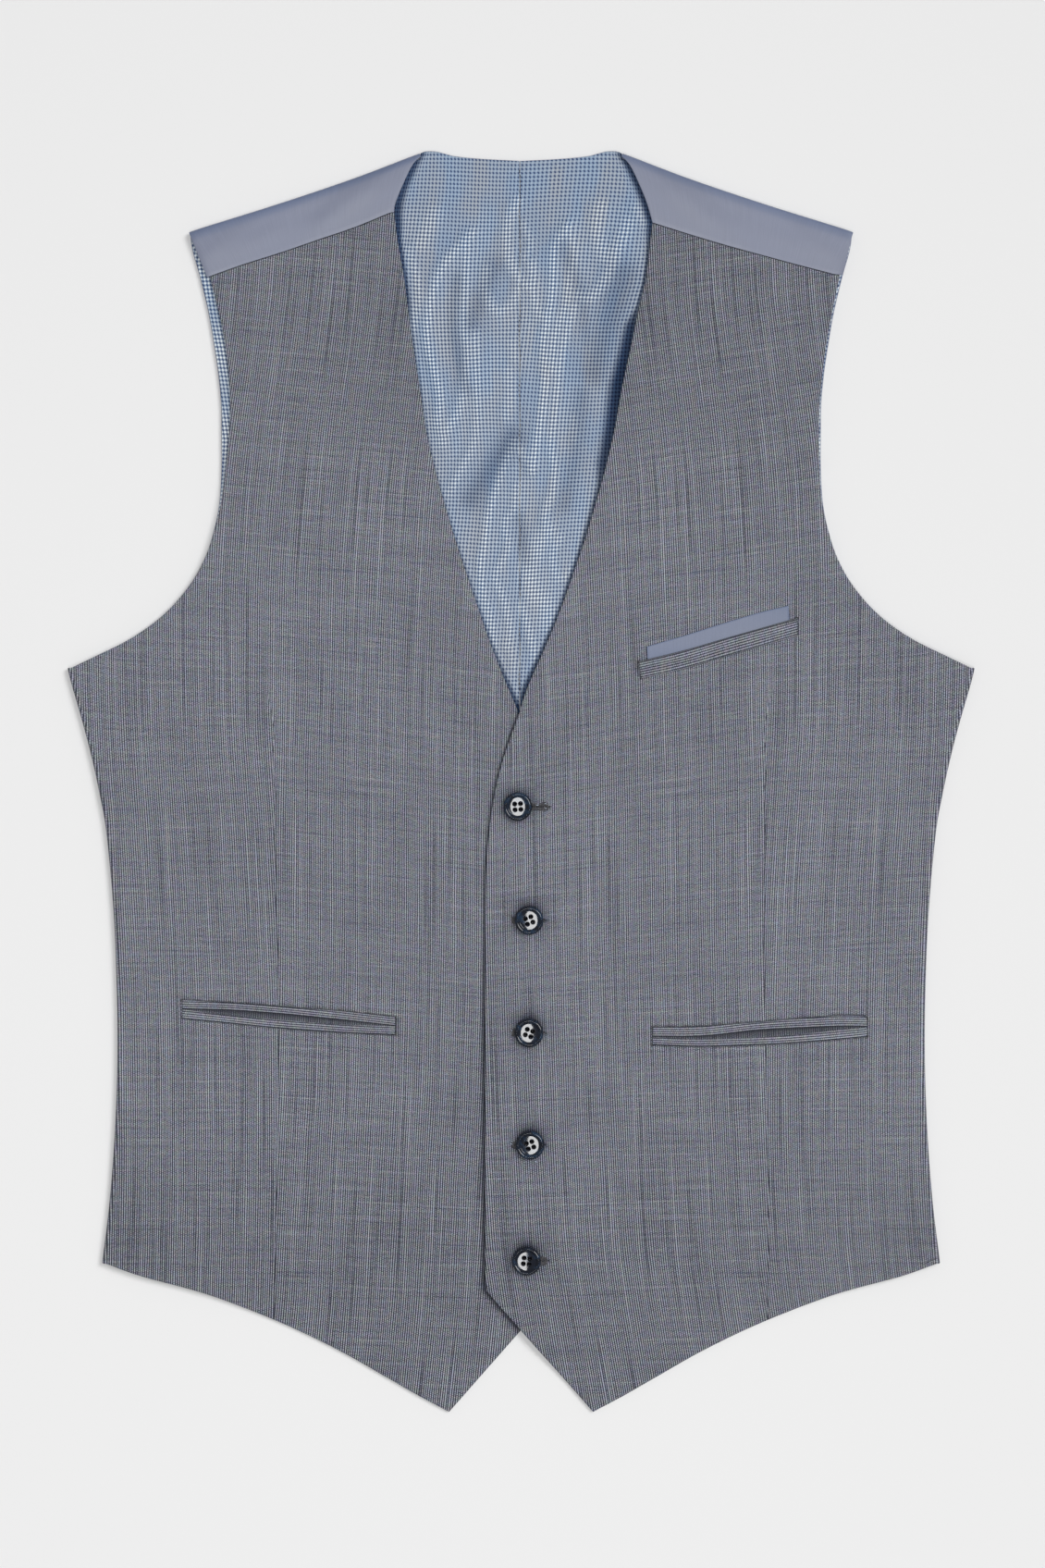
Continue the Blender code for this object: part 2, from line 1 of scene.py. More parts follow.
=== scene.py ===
# Suit waistcoat laid flat on its back: cloth, lining, pockets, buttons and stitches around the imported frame.
# Lengths in the dictionaries are millimetres where nothing else is said, and mm makes metres of them. The
# sizes that a cloth was cut to, flat and cut, are metres and square metres. The wearer's left is +X, the neck
# +Y. Outlines are given for one half, with x from the middle towards that half's own side. Side 1 is the left
# and side -1 the right.

from functools import partial, reduce
from math import cos, pi, radians, sin

import bmesh
import bpy
import numpy as np
from mathutils import Matrix, Vector


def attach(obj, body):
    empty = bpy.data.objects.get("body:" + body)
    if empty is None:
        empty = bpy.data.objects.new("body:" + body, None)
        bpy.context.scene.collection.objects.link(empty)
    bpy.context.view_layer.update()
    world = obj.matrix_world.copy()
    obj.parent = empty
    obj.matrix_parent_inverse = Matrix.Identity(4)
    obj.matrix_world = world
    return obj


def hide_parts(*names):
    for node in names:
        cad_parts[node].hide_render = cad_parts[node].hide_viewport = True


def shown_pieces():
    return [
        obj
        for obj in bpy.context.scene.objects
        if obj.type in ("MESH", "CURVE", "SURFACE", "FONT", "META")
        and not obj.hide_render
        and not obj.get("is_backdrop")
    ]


mm = 0.001

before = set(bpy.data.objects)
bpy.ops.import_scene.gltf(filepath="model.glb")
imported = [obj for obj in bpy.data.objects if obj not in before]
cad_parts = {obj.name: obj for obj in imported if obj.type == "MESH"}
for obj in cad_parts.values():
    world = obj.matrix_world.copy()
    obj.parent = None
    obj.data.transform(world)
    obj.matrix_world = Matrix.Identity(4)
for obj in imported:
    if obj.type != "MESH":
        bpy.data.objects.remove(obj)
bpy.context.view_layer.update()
print("frame loaded:", len(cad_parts), "nodes")

layers = {  # middle height of each cloth, and how thick it is drawn
    "back": 0.5, "lining": 1.8, "frontLow": 1, "front": 3.6,
    "backThick": 0.8, "liningThick": 0.8, "frontThick": 1.8,
    "drop": (-296, -262),  # the fronts come down to the table past the back's hem
    "lapRise": 2.7, "lapX": (22, 50), "lapHigh": (48, 95), "lapLow": (-325, -299),
    "roll": 0.6,  # rounding of a turned edge
}

outline = {
    "side": [  # y, half width
        (-260.5, 226.8), (-227.5, 222.8), (-187.5, 219.8), (-147.5, 218.5), (-107.5, 219), (-67.5, 220.8),
        (-27.5, 224.5), (-7.5, 228), (12.5, 232.3), (32.5, 237.5), (52.5, 243.3), (61.5, 245.5),
    ],
    "armhole": [  # y, back, left front, right front
        (61.5, 245.5, 245.5, 245.5), (67.5, 230.8, 230.8, 230.8), (77.5, 210.8, 210.8, 210.8),
        (90, 193.5, 193.5, 193.5), (105, 180, 180, 180), (120, 171.5, 171.3, 171.3),
        (135, 166.6, 166.2, 166), (150, 163.5, 162.8, 162.3), (168.5, 162.3, 161.3, 159.7),
        (188, 162.3, 161, 157.8), (204, 162.5, 161.4, 157.3), (220.5, 164, 162.9, 158),
        (238, 166.6, 165.2, 160.2), (254, 169.4, 168.2, 163.5), (273, 173.9, 172.3, 168.3),
    ],
    "backArmTop": [(287.5, 178), (297.25, 179.75)],  # y, half width
    "vee": [  # y, left, right
        (38.5, -0.8, 1.8), (52.5, 4, 7.8), (72.5, 12.8, 15.8), (92.5, 21, 22.8), (112.5, 28.1, 29.6),
        (132.5, 34.9, 36.1), (152.5, 40.8, 42.1), (172.5, 46.3, 47.6), (192.5, 50.8, 51.8),
        (212.5, 54.3, 54.7), (235, 59.2, 58.3), (252.5, 62.8, 60.8), (272.5, 67.4, 63.3),
        (292.5, 69.8, 66.8),
    ],
    "frontEdge": [  # x, y up from the cutaway
        (-19.5, -270), (-19.5, -160), (-19.3, -57.5), (-18.3, -38), (-16.3, -16), (-12.8, 2.5), (-6.3, 22.5),
    ],
    "cutaway": [(-19.5, -270), (-18, -275.5), (-10, -285.3), (38.95, -341)],
    "hem": [
        (38.95, -341), (55, -332.5), (72.5, -322.5), (99, -307.5), (130.5, -292.5), (169, -277.5),
        (205.5, -267.3), (226.8, -260.5),
    ],
    "neckline": [
        (0, 336), (20, 337), (35, 338.4), (41, 339.8), (45.5, 341), (49.5, 341.3), (52.5, 341), (55, 340),
    ],
    "shoulderFold": [
        (55, 340), (61.75, 337.4), (91.75, 326), (131.75, 312.5), (171.75, 300), (179.75, 297.25),
    ],
    "shoulderSeam": [  # x, left y, right y
        (70, 302.2, 307.6), (90, 295.9, 299.4), (110, 289.9, 292.6), (130, 284.4, 285.7), (150, 279, 279.4),
        (170, 273.8, 272.3),
    ],
    "seamEnds": {1: (71, 172.3), -1: (68.6, 168.3)},  # where the shoulder seam starts and ends, by side
    "stripNeck": [(55, 339.7), (58.8, 333.2), (63.75, 323), (68, 312.5)],
    "chestY": 36, "veeStep": 0.5,
}


# curves and surfaces

def ease(value, start, end):  # 0 at start, 1 at end, with soft ends
    t = np.clip((value - start) / (end - start), 0, 1)
    return t * t * (3 - 2 * t)


def smoothCurve(points, perSpan=10):  # Catmull-Rom line through the points
    p = np.array(points, float)[:, :2]
    if len(p) == 2:
        return p
    ends = np.vstack([2 * p[0] - p[1], p, 2 * p[-1] - p[-2]])
    fine = [p[0]]
    for a, b, c, d in zip(ends, ends[1:], ends[2:], ends[3:]):
        for t in np.arange(1, perSpan + 1) / perSpan:
            sag, swing = 2 * a - 5 * b + 4 * c - d, 3 * b - a - 3 * c + d
            fine.append(0.5 * (2 * b + (c - a) * t + sag * t**2 + swing * t**3))
    return np.array(fine)


def lengthTo(line):  # how far along the line each of its points is
    return np.concatenate([[0], np.cumsum(np.hypot(*np.diff(line, axis=0).T))])


def along(points, fractions):
    fine = smoothCurve(points)
    length = lengthTo(fine)
    at = np.asarray(fractions) * length[-1]
    return np.stack([np.interp(at, length, fine[:, k]) for k in (0, 1)], axis=1)


def lineAt(points, xs):
    fine = smoothCurve(points)
    return np.stack([xs, np.interp(xs, fine[:, 0], fine[:, 1])], axis=1)


def even(count):
    return np.linspace(0, 1, count + 1)


def twoRuns(split, low, high):  # shares of a length in two runs, with a point on the split
    return np.concatenate([even(low)[:-1] * split, split + even(high) * (1 - split)])


def offsetLine(points, distance):  # moved to its left
    line = np.array(points, float)
    run = np.gradient(line, axis=0)
    run /= np.hypot(run[:, 0], run[:, 1])[:, None]
    return line + distance * np.stack([-run[:, 1], run[:, 0]], axis=1)


def between(low, high, rows):
    shares = even(rows)[:, None, None]
    return low[None] * (1 - shares) + high[None] * shares


def coonsPatch(bottom, top, inner, outer, shares, rowShares):  # a grid of points inside four edges
    u = np.asarray(shares)[None, :, None]
    v = np.asarray(rowShares)[:, None, None]
    inner, outer = along(inner, rowShares)[:, None], along(outer, rowShares)[:, None]
    bottom, top = bottom[None], top[None]
    corners = (
        (1 - u) * (1 - v) * bottom[:, :1] + u * (1 - v) * bottom[:, -1:]
        + (1 - u) * v * top[:, :1] + u * v * top[:, -1:]
    )
    return (1 - v) * bottom + v * top + (1 - u) * inner + u * outer - corners


def creaseHeight(x, y, creases):
    # Each crease runs between two points with a bow: a soft ridge, or a trough where its height is negative.
    total = np.zeros(np.broadcast(x, y).shape)
    for x0, y0, x1, y1, bow, width, height in creases:
        run = np.hypot(x1 - x0, y1 - y0)
        dx, dy = (x1 - x0) / run, (y1 - y0) / run
        t = ((x - x0) * dx + (y - y0) * dy) / run
        away = -(x - x0) * dy + (y - y0) * dx - bow * 4 * t * (1 - t)
        ends = ease(t, -0.15, 0.3) * (1 - ease(t, 0.7, 1.15))
        total = total + height * ends * np.exp(-((away / width) ** 2))
    return total


def nearness(x, y, path, width):  # 1 on a path of straight runs, fading over its width
    away = np.full(x.shape, np.inf)
    for (x0, y0), (x1, y1) in zip(path, path[1:]):
        dx, dy = x1 - x0, y1 - y0
        t = np.clip(((x - x0) * dx + (y - y0) * dy) / (dx * dx + dy * dy), 0, 1)
        away = np.minimum(away, np.hypot(x - x0 - t * dx, y - y0 - t * dy))
    return np.exp(-((away / width) ** 2))


def pointGrid(x, y, z):
    return np.stack(np.broadcast_arrays(x, y, z), axis=-1)


def ofSide(rows, side):  # rows of a place with a left and a right value, for one side
    return [(row[0], row[1 if side > 0 else 2]) for row in rows]


# pieces

def finished(name, bm, material, slotName=None, *nodes):  # rides on the root, and may stand for a CAD node
    mesh = bpy.data.meshes.new(name)
    bm.to_mesh(mesh)
    bm.free()
    mesh.shade_smooth()
    mesh.materials.append(material)
    obj = bpy.data.objects.new(name, mesh)
    bpy.context.scene.collection.objects.link(obj)
    if slotName:
        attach(obj, "root")
    if nodes:
        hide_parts(*nodes)
    return obj


def clothShell(
    name, side, outer, inner, grains, material, roll=0, missing=None, seam=None, marks=None, kind=(),
):
    # A closed cloth between two grids of points, on its own side. grains are the pattern's places on the
    # cloth, in metres: one grid, or two where a seam column parts them. marks are named values for the
    # material, by point. kind is a slot name that puts the cloth on the root, and the CAD node it stands for.
    rows, columns = outer.shape[:2]
    bm = bmesh.new()
    bmesh.ops.create_grid(bm, x_segments=columns - 1, y_segments=rows - 1, size=0.5)
    rowOf, columnOf = bm.verts.layers.int.new("row"), bm.verts.layers.int.new("column")
    for vert in bm.verts:
        vert[rowOf] = round((vert.co.y + 0.5) * (rows - 1))
        vert[columnOf] = round((vert.co.x + 0.5) * (columns - 1))
    if missing is not None:
        gone = [vert for vert in bm.verts if missing[vert[rowOf], vert[columnOf]]]
        bmesh.ops.delete(bm, geom=gone, context="VERTS")
    upper = set(bm.faces)
    moved = set(bmesh.ops.extrude_face_region(bm, geom=list(bm.faces), use_keep_orig=True)["geom"])
    rim = set(bm.faces) - upper - moved
    for vert in bm.verts:
        grid = inner if vert in moved else outer
        vert.co = grid[vert[rowOf], vert[columnOf]] * [side * mm, mm, mm]
    uvLayer = bm.loops.layers.uv.new("grain")
    for face in bm.faces:
        beyond = seam is not None and sum(v[columnOf] for v in face.verts) / len(face.verts) > seam
        for loop in face.loops:
            loop[uvLayer].uv = grains[beyond][loop.vert[rowOf], loop.vert[columnOf]]
    for key, values in (marks or {}).items():
        layer = bm.verts.layers.float.new(key)
        for vert in bm.verts:
            vert[layer] = values[vert[rowOf], vert[columnOf]]
    bmesh.ops.recalc_face_normals(bm, faces=bm.faces)
    if bm.calc_volume(signed=True) < 0:
        bmesh.ops.reverse_faces(bm, faces=bm.faces)
    if roll:
        edges = [e for e in bm.edges if 0 < sum(face in rim for face in e.link_faces) < len(e.link_faces)]
        bmesh.ops.bevel(
            bm, geom=edges, offset=roll * mm, offset_type="OFFSET", segments=3, profile=0.5, affect="EDGES",
            material=-1, clamp_overlap=True,
        )
    return finished(name, bm, material, *kind)


def cutWith(obj, cutters):
    for cutter in cutters:
        boolean = obj.modifiers.new(cutter.name, "BOOLEAN")
        boolean.operation = "DIFFERENCE"
        boolean.solver = "EXACT"
        boolean.object = cutter
    graph = bpy.context.evaluated_depsgraph_get()
    mesh = bpy.data.meshes.new_from_object(obj.evaluated_get(graph), depsgraph=graph)
    obj.modifiers.clear()
    obj.data = mesh
    for cutter in cutters:
        bpy.data.objects.remove(cutter, do_unlink=True)


def addRod(bm, start, end, radius, sides=6):  # given in millimetres
    start, end = [Vector([c * mm for c in point]) for point in (start, end)]
    made = bmesh.ops.create_cone(
        bm, cap_ends=True, segments=sides, radius1=radius * mm, radius2=radius * mm,
        depth=(end - start).length,
    )["verts"]
    turn = (end - start).to_track_quat("Z", "Y").to_matrix().to_4x4()
    bmesh.ops.transform(bm, matrix=Matrix.Translation((start + end) / 2) @ turn, verts=made)


# shader nodes, which go into the tree that is open on the bench

bench = {}


def wired(made, sockets):  # links a node's sockets, or gives them plain values
    for key, value in sockets.items():
        if isinstance(value, bpy.types.NodeSocket):
            bench["tree"].links.new(value, made.inputs[key])
        else:
            made.inputs[key].default_value = value
    return made


def newMaterial(name, values):
    material = bpy.data.materials.new(name)
    material.use_nodes = True
    bench["tree"] = material.node_tree
    return material, wired(material.node_tree.nodes["Principled BSDF"], values)


def newNode(kind, sockets=(), **settings):
    made = bench["tree"].nodes.new("ShaderNode" + kind)
    for key, value in settings.items():
        setattr(made, key, value)
    return wired(made, dict(sockets))


def newGroup(name, inputs, outputs):
    bench["tree"] = bpy.data.node_groups.new(name, "ShaderNodeTree")
    for way, sockets in (("INPUT", inputs), ("OUTPUT", outputs)):
        for key, (kind, value) in sockets.items():
            kind = "NodeSocket" + kind
            socket = bench["tree"].interface.new_socket(name=key, in_out=way, socket_type=kind)
            if value is not None:
                socket.default_value = value
    nodes = bench["tree"].nodes
    return bench["tree"], nodes.new("NodeGroupInput").outputs, nodes.new("NodeGroupOutput")


def useGroup(group, **values):
    return newNode("Group", values, node_tree=group).outputs


def calc(operation, *values, clamp=False):
    return newNode("Math", enumerate(values), operation=operation, use_clamp=clamp).outputs[0]


plus, minus, times, over = [partial(calc, kind) for kind in ("ADD", "SUBTRACT", "MULTIPLY", "DIVIDE")]
timesPlus, power = partial(calc, "MULTIPLY_ADD"), partial(calc, "POWER")


def remap(value, fromLow, fromHigh, toLow=0.0, toHigh=1.0, smooth=False):
    sockets = {"Value": value, "From Min": fromLow, "From Max": fromHigh, "To Min": toLow, "To Max": toHigh}
    form = "SMOOTHSTEP" if smooth else "LINEAR"
    return newNode("MapRange", sockets, interpolation_type=form).outputs["Result"]


def mixed(share, first, second, mode="MIX"):
    return newNode("Mix", {0: share, 6: first, 7: second}, data_type="RGBA", blend_type=mode).outputs[2]


def tinted(body, tint, share=1.0):
    return mixed(share, body, tint, "MULTIPLY")


def toned(body, tone):
    return tinted(body, newNode("CombineColor", {0: tone, 1: tone, 2: tone}).outputs[0])


def xAndY(place):
    return newNode("SeparateXYZ", {"Vector": place}).outputs[:2]


def vector(x, y):
    return newNode("CombineXYZ", {"X": x, "Y": y}).outputs[0]


def noise(place, scale, detail=2.0, **more):
    return newNode("TexNoise", {"Vector": place, "Scale": scale, "Detail": detail, **more}).outputs["Fac"]


def mark(name):  # a value that the mesh carries
    return newNode("Attribute", attribute_name=name).outputs["Fac"]


def grainOf():
    return newNode("UVMap", uv_map="grain").outputs[0]


def objectPlace():
    return newNode("TexCoord").outputs["Object"]


def bumped(shader, height, strength, distance):
    bump = newNode("Bump", {"Height": height, "Strength": strength, "Distance": distance * mm})
    wired(shader, {"Normal": bump.outputs[0]})


def colour(*rgb):
    return (*rgb, 1.0)


worstedCloth = {
    "ground": colour(0.029, 0.032, 0.048), "hairline": colour(0.412, 0.428, 0.486),
    "slub": colour(0.04, 0.052, 0.105), "blue": colour(0.97, 0.963, 1.065),
    "straw": colour(1.03, 1.037, 0.935), "pink": colour(1.048, 0.957, 0.996),
    "leaf": colour(0.952, 1.043, 1.004), "shade": colour(0.2, 0.21, 0.26),
    # shade and seam are colours of painted shade: shade for the shadows of the lap's edge and the buttons,
    # seam for the dart's crease, the pocket mouths and the welt
    "seam": colour(0.016, 0.018, 0.026), "pitch": 1.19, "pick": 1.06, "bump": 0.22, "bumpHeight": 0.07,
    "middle": 0.42,
}


def makeHairlineGroup():
    # Hairlines along the warp, each of its own strength and broken by the weft, with paler and darker picks.
    w = worstedCloth
    group, given, result = newGroup(
        "hairlines",
        {
            "Grain": ("Vector", None), "Pitch": ("Float", w["pitch"] * mm),
            "Pick": ("Float", w["pick"] * mm), "Weft": ("Float", 1.0),
        },
        {key: ("Float", None) for key in ("Light", "Slub", "Straw", "Pink", "Height")},
    )
    u, v = xAndY(given["Grain"])

    def uneven(acrossScale, alongScale, detail=1.0, across=u, along=v):
        return noise(vector(times(across, acrossScale), times(along, alongScale)), 1.0, detail)

    def drift(source, reach, middle=0.0, spread=0.2):
        return remap(source, 0.5 - spread, 0.5 + spread, middle - reach, middle + reach)

    ends = plus(over(u, given["Pitch"]), drift(uneven(90.0, 22.0), 0.14))
    number = calc("FLOOR", ends)
    hair = calc("SINE", timesPlus(ends, 2 * pi, -pi / 2))
    hair = power(timesPlus(hair, 0.5, 0.5), 1.4)
    own = drift(uneven(7.31, 10.0, across=number), 1.0, 0.0, 0.22)  # each hairline's own, drifting along it
    strength = timesPlus(power(own, 3.0), 0.26, timesPlus(own, 0.10, 0.82))
    picks = over(v, given["Pick"])
    row = calc("FLOOR", times(picks, 2.0))
    pick = timesPlus(calc("SINE", timesPlus(picks, 2 * pi, times(number, pi))), 0.5, 0.5)
    thread = times(times(hair, strength), timesPlus(pick, 0.55, 0.62))
    weft = drift(uneven(20.0, 7.31, 2.0, along=row), 1.0, 0.0, 0.22)
    line = power(weft, 3.0)  # few strong picks among quiet ones
    light = plus(thread, drift(uneven(1500.0, 1100.0), 0.15))
    light = timesPlus(timesPlus(weft, 0.065, times(line, 0.075)), given["Weft"], light)
    light = timesPlus(drift(uneven(190.0, 7.31, along=row), 1.0, 0.0, 0.22), 0.045, light, clamp=True)
    slub = remap(uneven(24.0, 620.0), 0.67, 0.73, smooth=True)
    straw = plus(timesPlus(weft, 0.12, 0.5), drift(uneven(300.0, 240.0), 0.7), clamp=True)
    pink = drift(uneven(11.7, 40.0, across=number), 0.25, 0.5)
    pink = plus(pink, drift(uneven(330.0, 420.0, across=plus(u, 0.7)), 0.7), clamp=True)
    wired(result, {"Light": light, "Slub": slub, "Straw": straw, "Pink": pink, "Height": thread})
    return group


edgeShadow = {  # the lap's edge runs straight, bends to the vee above and slopes along the cutaway below
    "straightX": -19.5, "bend": (-70, 38.5), "bendPower": 2.4, "bendOut": 18.7, "cutaway": (-0.879, -260.8),
    "reach": [(-90, -135, 1.2, 4), (-262, -285, 0, 3), (33, 37, 0, 1.6)],  # from y, to y, what each adds
    "fade": 1.6, "rise": 0.3,
}


def edgeShade(x, y):  # deep shade on the under front, close along the edge of the front that laps over it
    e = edgeShadow
    bend = power(remap(y, *e["bend"]), e["bendPower"])
    edge = calc("MAXIMUM", timesPlus(bend, e["bendOut"], e["straightX"]), timesPlus(y, *e["cutaway"]))
    away = minus(edge, x)
    reach = reduce(plus, [remap(y, *part) for part in e["reach"]])
    near = minus(1.0, over(away, reach, clamp=True))
    return times(power(near, e["fade"]), remap(away, -e["rise"], 0.0))


buttonShadow = {  # the middles of the shadows that the buttons cast towards the neck, and how each fades
    "middles": [(-1.8, -12.2), (4.3, -72.6), (4.3, -133.1), (4.8, -193.5), (3, -256)],
    "reach": 6.3, "fade": 3.6, "depth": 0.87, "far": 100,
}


def buttonShade(x, y):
    b = buttonShadow
    flat, away = vector(x, y), b["far"]
    for middle in b["middles"]:
        one = newNode("VectorMath", {0: flat, 1: (*middle, 0.0)}, operation="DISTANCE").outputs["Value"]
        away = calc("MINIMUM", one, away)
    return times(calc("EXPONENT", over(minus(b["reach"], away), b["fade"])), b["depth"], clamp=True)


def makeWorsted():
    w = worstedCloth
    hairlines = makeHairlineGroup()
    material, shader = newMaterial("worsted", {
        "Roughness": 0.8, "Specular IOR Level": 0.22, "Sheen Weight": 0.06, "Sheen Roughness": 0.5,
    })
    spot = objectPlace()
    x, height = xAndY(spot)
    weft = plus(remap(height, -0.12, -0.17, 1.0, 1.1), remap(height, 0.11, 0.16, 0.0, 0.2))
    cloth = useGroup(hairlines, Grain=grainOf(), Weft=weft)
    low, high = remap(height, -0.13, -0.3), remap(height, 0.1, 0.18)
    crisp = timesPlus(low, remap(x, 0.0, 0.17, 0.6, -0.08), 1.0)  # crisper towards the points
    crisp = timesPlus(high, remap(x, -0.1, 0.1, -0.04, 0.10), crisp)
    light = timesPlus(minus(cloth["Light"], w["middle"]), crisp, w["middle"], clamp=True)
    body = mixed(light, w["ground"], w["hairline"])
    body = mixed(times(cloth["Slub"], 0.28), body, w["slub"])
    tone = remap(noise(spot, 9.0, 3.0), 0.3, 0.7, 0.96, 1.06)
    # painted shade: the cloth darker towards the shoulders and towards the hem
    tone = plus(tone, remap(height, 0.17, 0.23, 0.0, -0.09, smooth=True))
    tone = plus(tone, remap(height, -0.19, -0.25, 0.0, -0.085, smooth=True))
    body = tinted(body, mixed(cloth["Straw"], w["blue"], w["straw"]))
    body = tinted(body, mixed(cloth["Pink"], w["leaf"], w["pink"]))
    place = xAndY(newNode("VectorMath", {0: spot, "Scale": 1 / mm}, operation="SCALE").outputs[0])
    for shade in (edgeShade(*place), buttonShade(*place)):
        body = tinted(body, w["shade"], shade)
    # painted shade where the mesh's seam mark is: down the dart's crease, in the pocket mouths and along the
    # welt
    body = mixed(mark("seam"), toned(body, tone), w["seam"])
    wired(shader, {"Base Color": body})
    bumped(shader, cloth["Height"], w["bump"], w["bumpHeight"])
    return material


def makeThreadNoise():  # fine uneven threads, stretched along the cloth or across it
    group, given, result = newGroup(
        "threadNoise",
        {"Grain": ("Vector", None), **{key: ("Float", 1.0) for key in ("Across", "Along", "Detail")}},
        {"Fac": ("Float", None)},
    )
    u, v = xAndY(given["Grain"])
    spot = vector(times(u, given["Across"]), times(v, given["Along"]))
    wired(result, {"Fac": noise(spot, 1.0, given["Detail"])})
    return group


threadNoise = makeThreadNoise()


def threads(grain, across, along, detail):
    return useGroup(threadNoise, Grain=grain, Across=across, Along=along, Detail=detail)["Fac"]


satinCloth = {
    # fold is the colour of painted shade, along the shoulder folds and round the breast pocket's satin
    "body": colour(0.186, 0.204, 0.278), "fold": colour(0.106, 0.138, 0.23), "bump": 0.15,
    "bumpHeight": 0.05,
}


def makeSatin():
    s = satinCloth
    material, shader = newMaterial("satin", {
        "Specular IOR Level": 0.45, "Sheen Weight": 0.2, "Sheen Roughness": 0.35,
    })
    grain = grainOf()
    warp, cloud = threads(grain, 2200.0, 60.0, 2.0), threads(grain, 18.0, 45.0, 3.0)
    tone = plus(remap(warp, 0.3, 0.7, 0.95, 1.05), remap(cloud, 0.3, 0.7, -0.06, 0.06))
    # painted shade where the mesh's fold mark is
    body = toned(mixed(mark("fold"), s["body"], s["fold"]), tone)
    wired(shader, {"Base Color": body, "Roughness": remap(cloud, 0.3, 0.7, 0.36, 0.48)})
    bumped(shader, warp, s["bump"], s["bumpHeight"])
    return material


dobbyCloth = {
    "ground": colour(0.243, 0.299, 0.382), "dot": colour(0.01, 0.034, 0.115),
    # painted light: shine is the colour of the painted highlight on the lustrous threads, and the dark blue
    # after it that of painted shade
    "shine": colour(0.72, 0.78, 0.81), "paintedShade": colour(0.05, 0.11, 0.22), "cool": colour(0.86, 0.98, 1.1),
    "warm": colour(1.08, 1.01, 0.96), "pitch": 2.15, "dotWide": 0.255, "dotHigh": 0.295, "shineSize": 0.27,
    "bump": 0.2, "bumpHeight": 0.1,
}


def makeDobby():
    # Navy pin dots on a square lattice, with lustrous threads between them, which a painted highlight lights
    # on the folds' crests.
    d = dobbyCloth
    material, shader = newMaterial("dobbyLining", {"Sheen Weight": 0.05, "Sheen Roughness": 0.35})
    grain = grainOf()
    cells = [over(part, d["pitch"] * mm) for part in xAndY(grain)]

    def lattice(shift, wide, high, lean):
        a, b = [minus(calc("FRACT", plus(cell, shift)), 0.5) for cell in cells]
        a, b = over(timesPlus(b, lean, a), wide), over(b, high)
        away = calc("SQRT", plus(times(a, a), times(b, b)))
        return remap(away, 0.75, 1.25, 1.0, 0.0, smooth=True)

    dots = lattice(0.0, d["dotWide"], d["dotHigh"], 0.35)
    lustre = lattice(0.5, d["shineSize"], d["shineSize"], 0.0)
    shine, paintedShade = mark("shine"), mark("paintedShade")
    patch = remap(threads(grain, 75.0, 26.0, 3.0), 0.35, 0.65)
    body = tinted(d["ground"], mixed(patch, d["cool"], d["warm"]))
    body = mixed(times(dots, 0.96), body, d["dot"])
    # painted highlight: the lustrous threads made pale where the mesh's shine mark is
    body = mixed(times(lustre, shine, clamp=True), body, d["shine"])
    # painted shade where the mesh marks the lining as shaded, with less gloss there
    body = tinted(body, d["paintedShade"], paintedShade)
    body = toned(body, remap(threads(grain, 250.0, 2500.0, 2.0), 0.3, 0.7, 0.93, 1.07))
    wired(shader, {
        "Base Color": body, "Roughness": remap(lustre, 0.0, 1.0, 0.5, 0.3),
        "Specular IOR Level": remap(paintedShade, 0.0, 1.0, 0.3, 0.06),
    })
    bumped(shader, minus(lustre, dots), d["bump"], d["bumpHeight"])
    return material


buttonHorn = {"dark": colour(0.004, 0.006, 0.013), "blue": colour(0.01, 0.026, 0.055)}


def makeHorn():
    material, shader = newMaterial("buttonHorn", {
        "Specular IOR Level": 0.45, "Coat Weight": 0.05, "Coat Roughness": 0.03,
    })
    swirl = noise(objectPlace(), 160.0, 3.0, Distortion=1.2)
    body = mixed(remap(swirl, 0.42, 0.68, smooth=True), buttonHorn["dark"], buttonHorn["blue"])
    wired(shader, {"Base Color": body, "Roughness": remap(swirl, 0.3, 0.7, 0.045, 0.085)})
    return material


def makePlyGroup():  # the twist of a sewing thread
    group, given, result = newGroup(
        "threadPly", {"Place": ("Vector", None), "Dark": ("Color", None), "Light": ("Color", None)},
        {"Color": ("Color", None), "Height": ("Float", None)},
    )
    ply = noise(given["Place"], 2400.0)
    wired(result, {"Color": mixed(remap(ply, 0.35, 0.65), given["Dark"], given["Light"]), "Height": ply})
    return group


def makeThread(name, dark, light, gloss=0.35, sheen=0.2):
    values = {"Roughness": 0.6, "Specular IOR Level": gloss, "Sheen Weight": sheen}
    material, shader = newMaterial(name, values)
    ply = useGroup(threadPly, Place=objectPlace(), Dark=colour(*dark), Light=colour(*light))
    wired(shader, {"Base Color": ply["Color"]})
    bumped(shader, ply["Height"], 0.4, 0.1)
    return material


threadPly = makePlyGroup()
worsted, satin, dobby, horn = makeWorsted(), makeSatin(), makeDobby(), makeHorn()
darkThread = makeThread("darkThread", (0.022, 0.022, 0.028), (0.085, 0.083, 0.088))
# near black and without gloss: the shank's own dark thread, and painted shade in the button's holes
blackThread = makeThread("blackThread", (0.001, 0.001, 0.002), (0.006, 0.006, 0.008), 0.05, 0.0)
paleThread = makeThread("paleThread", (0.25, 0.32, 0.46), (0.60, 0.66, 0.76))
print("materials ready")


# fronts

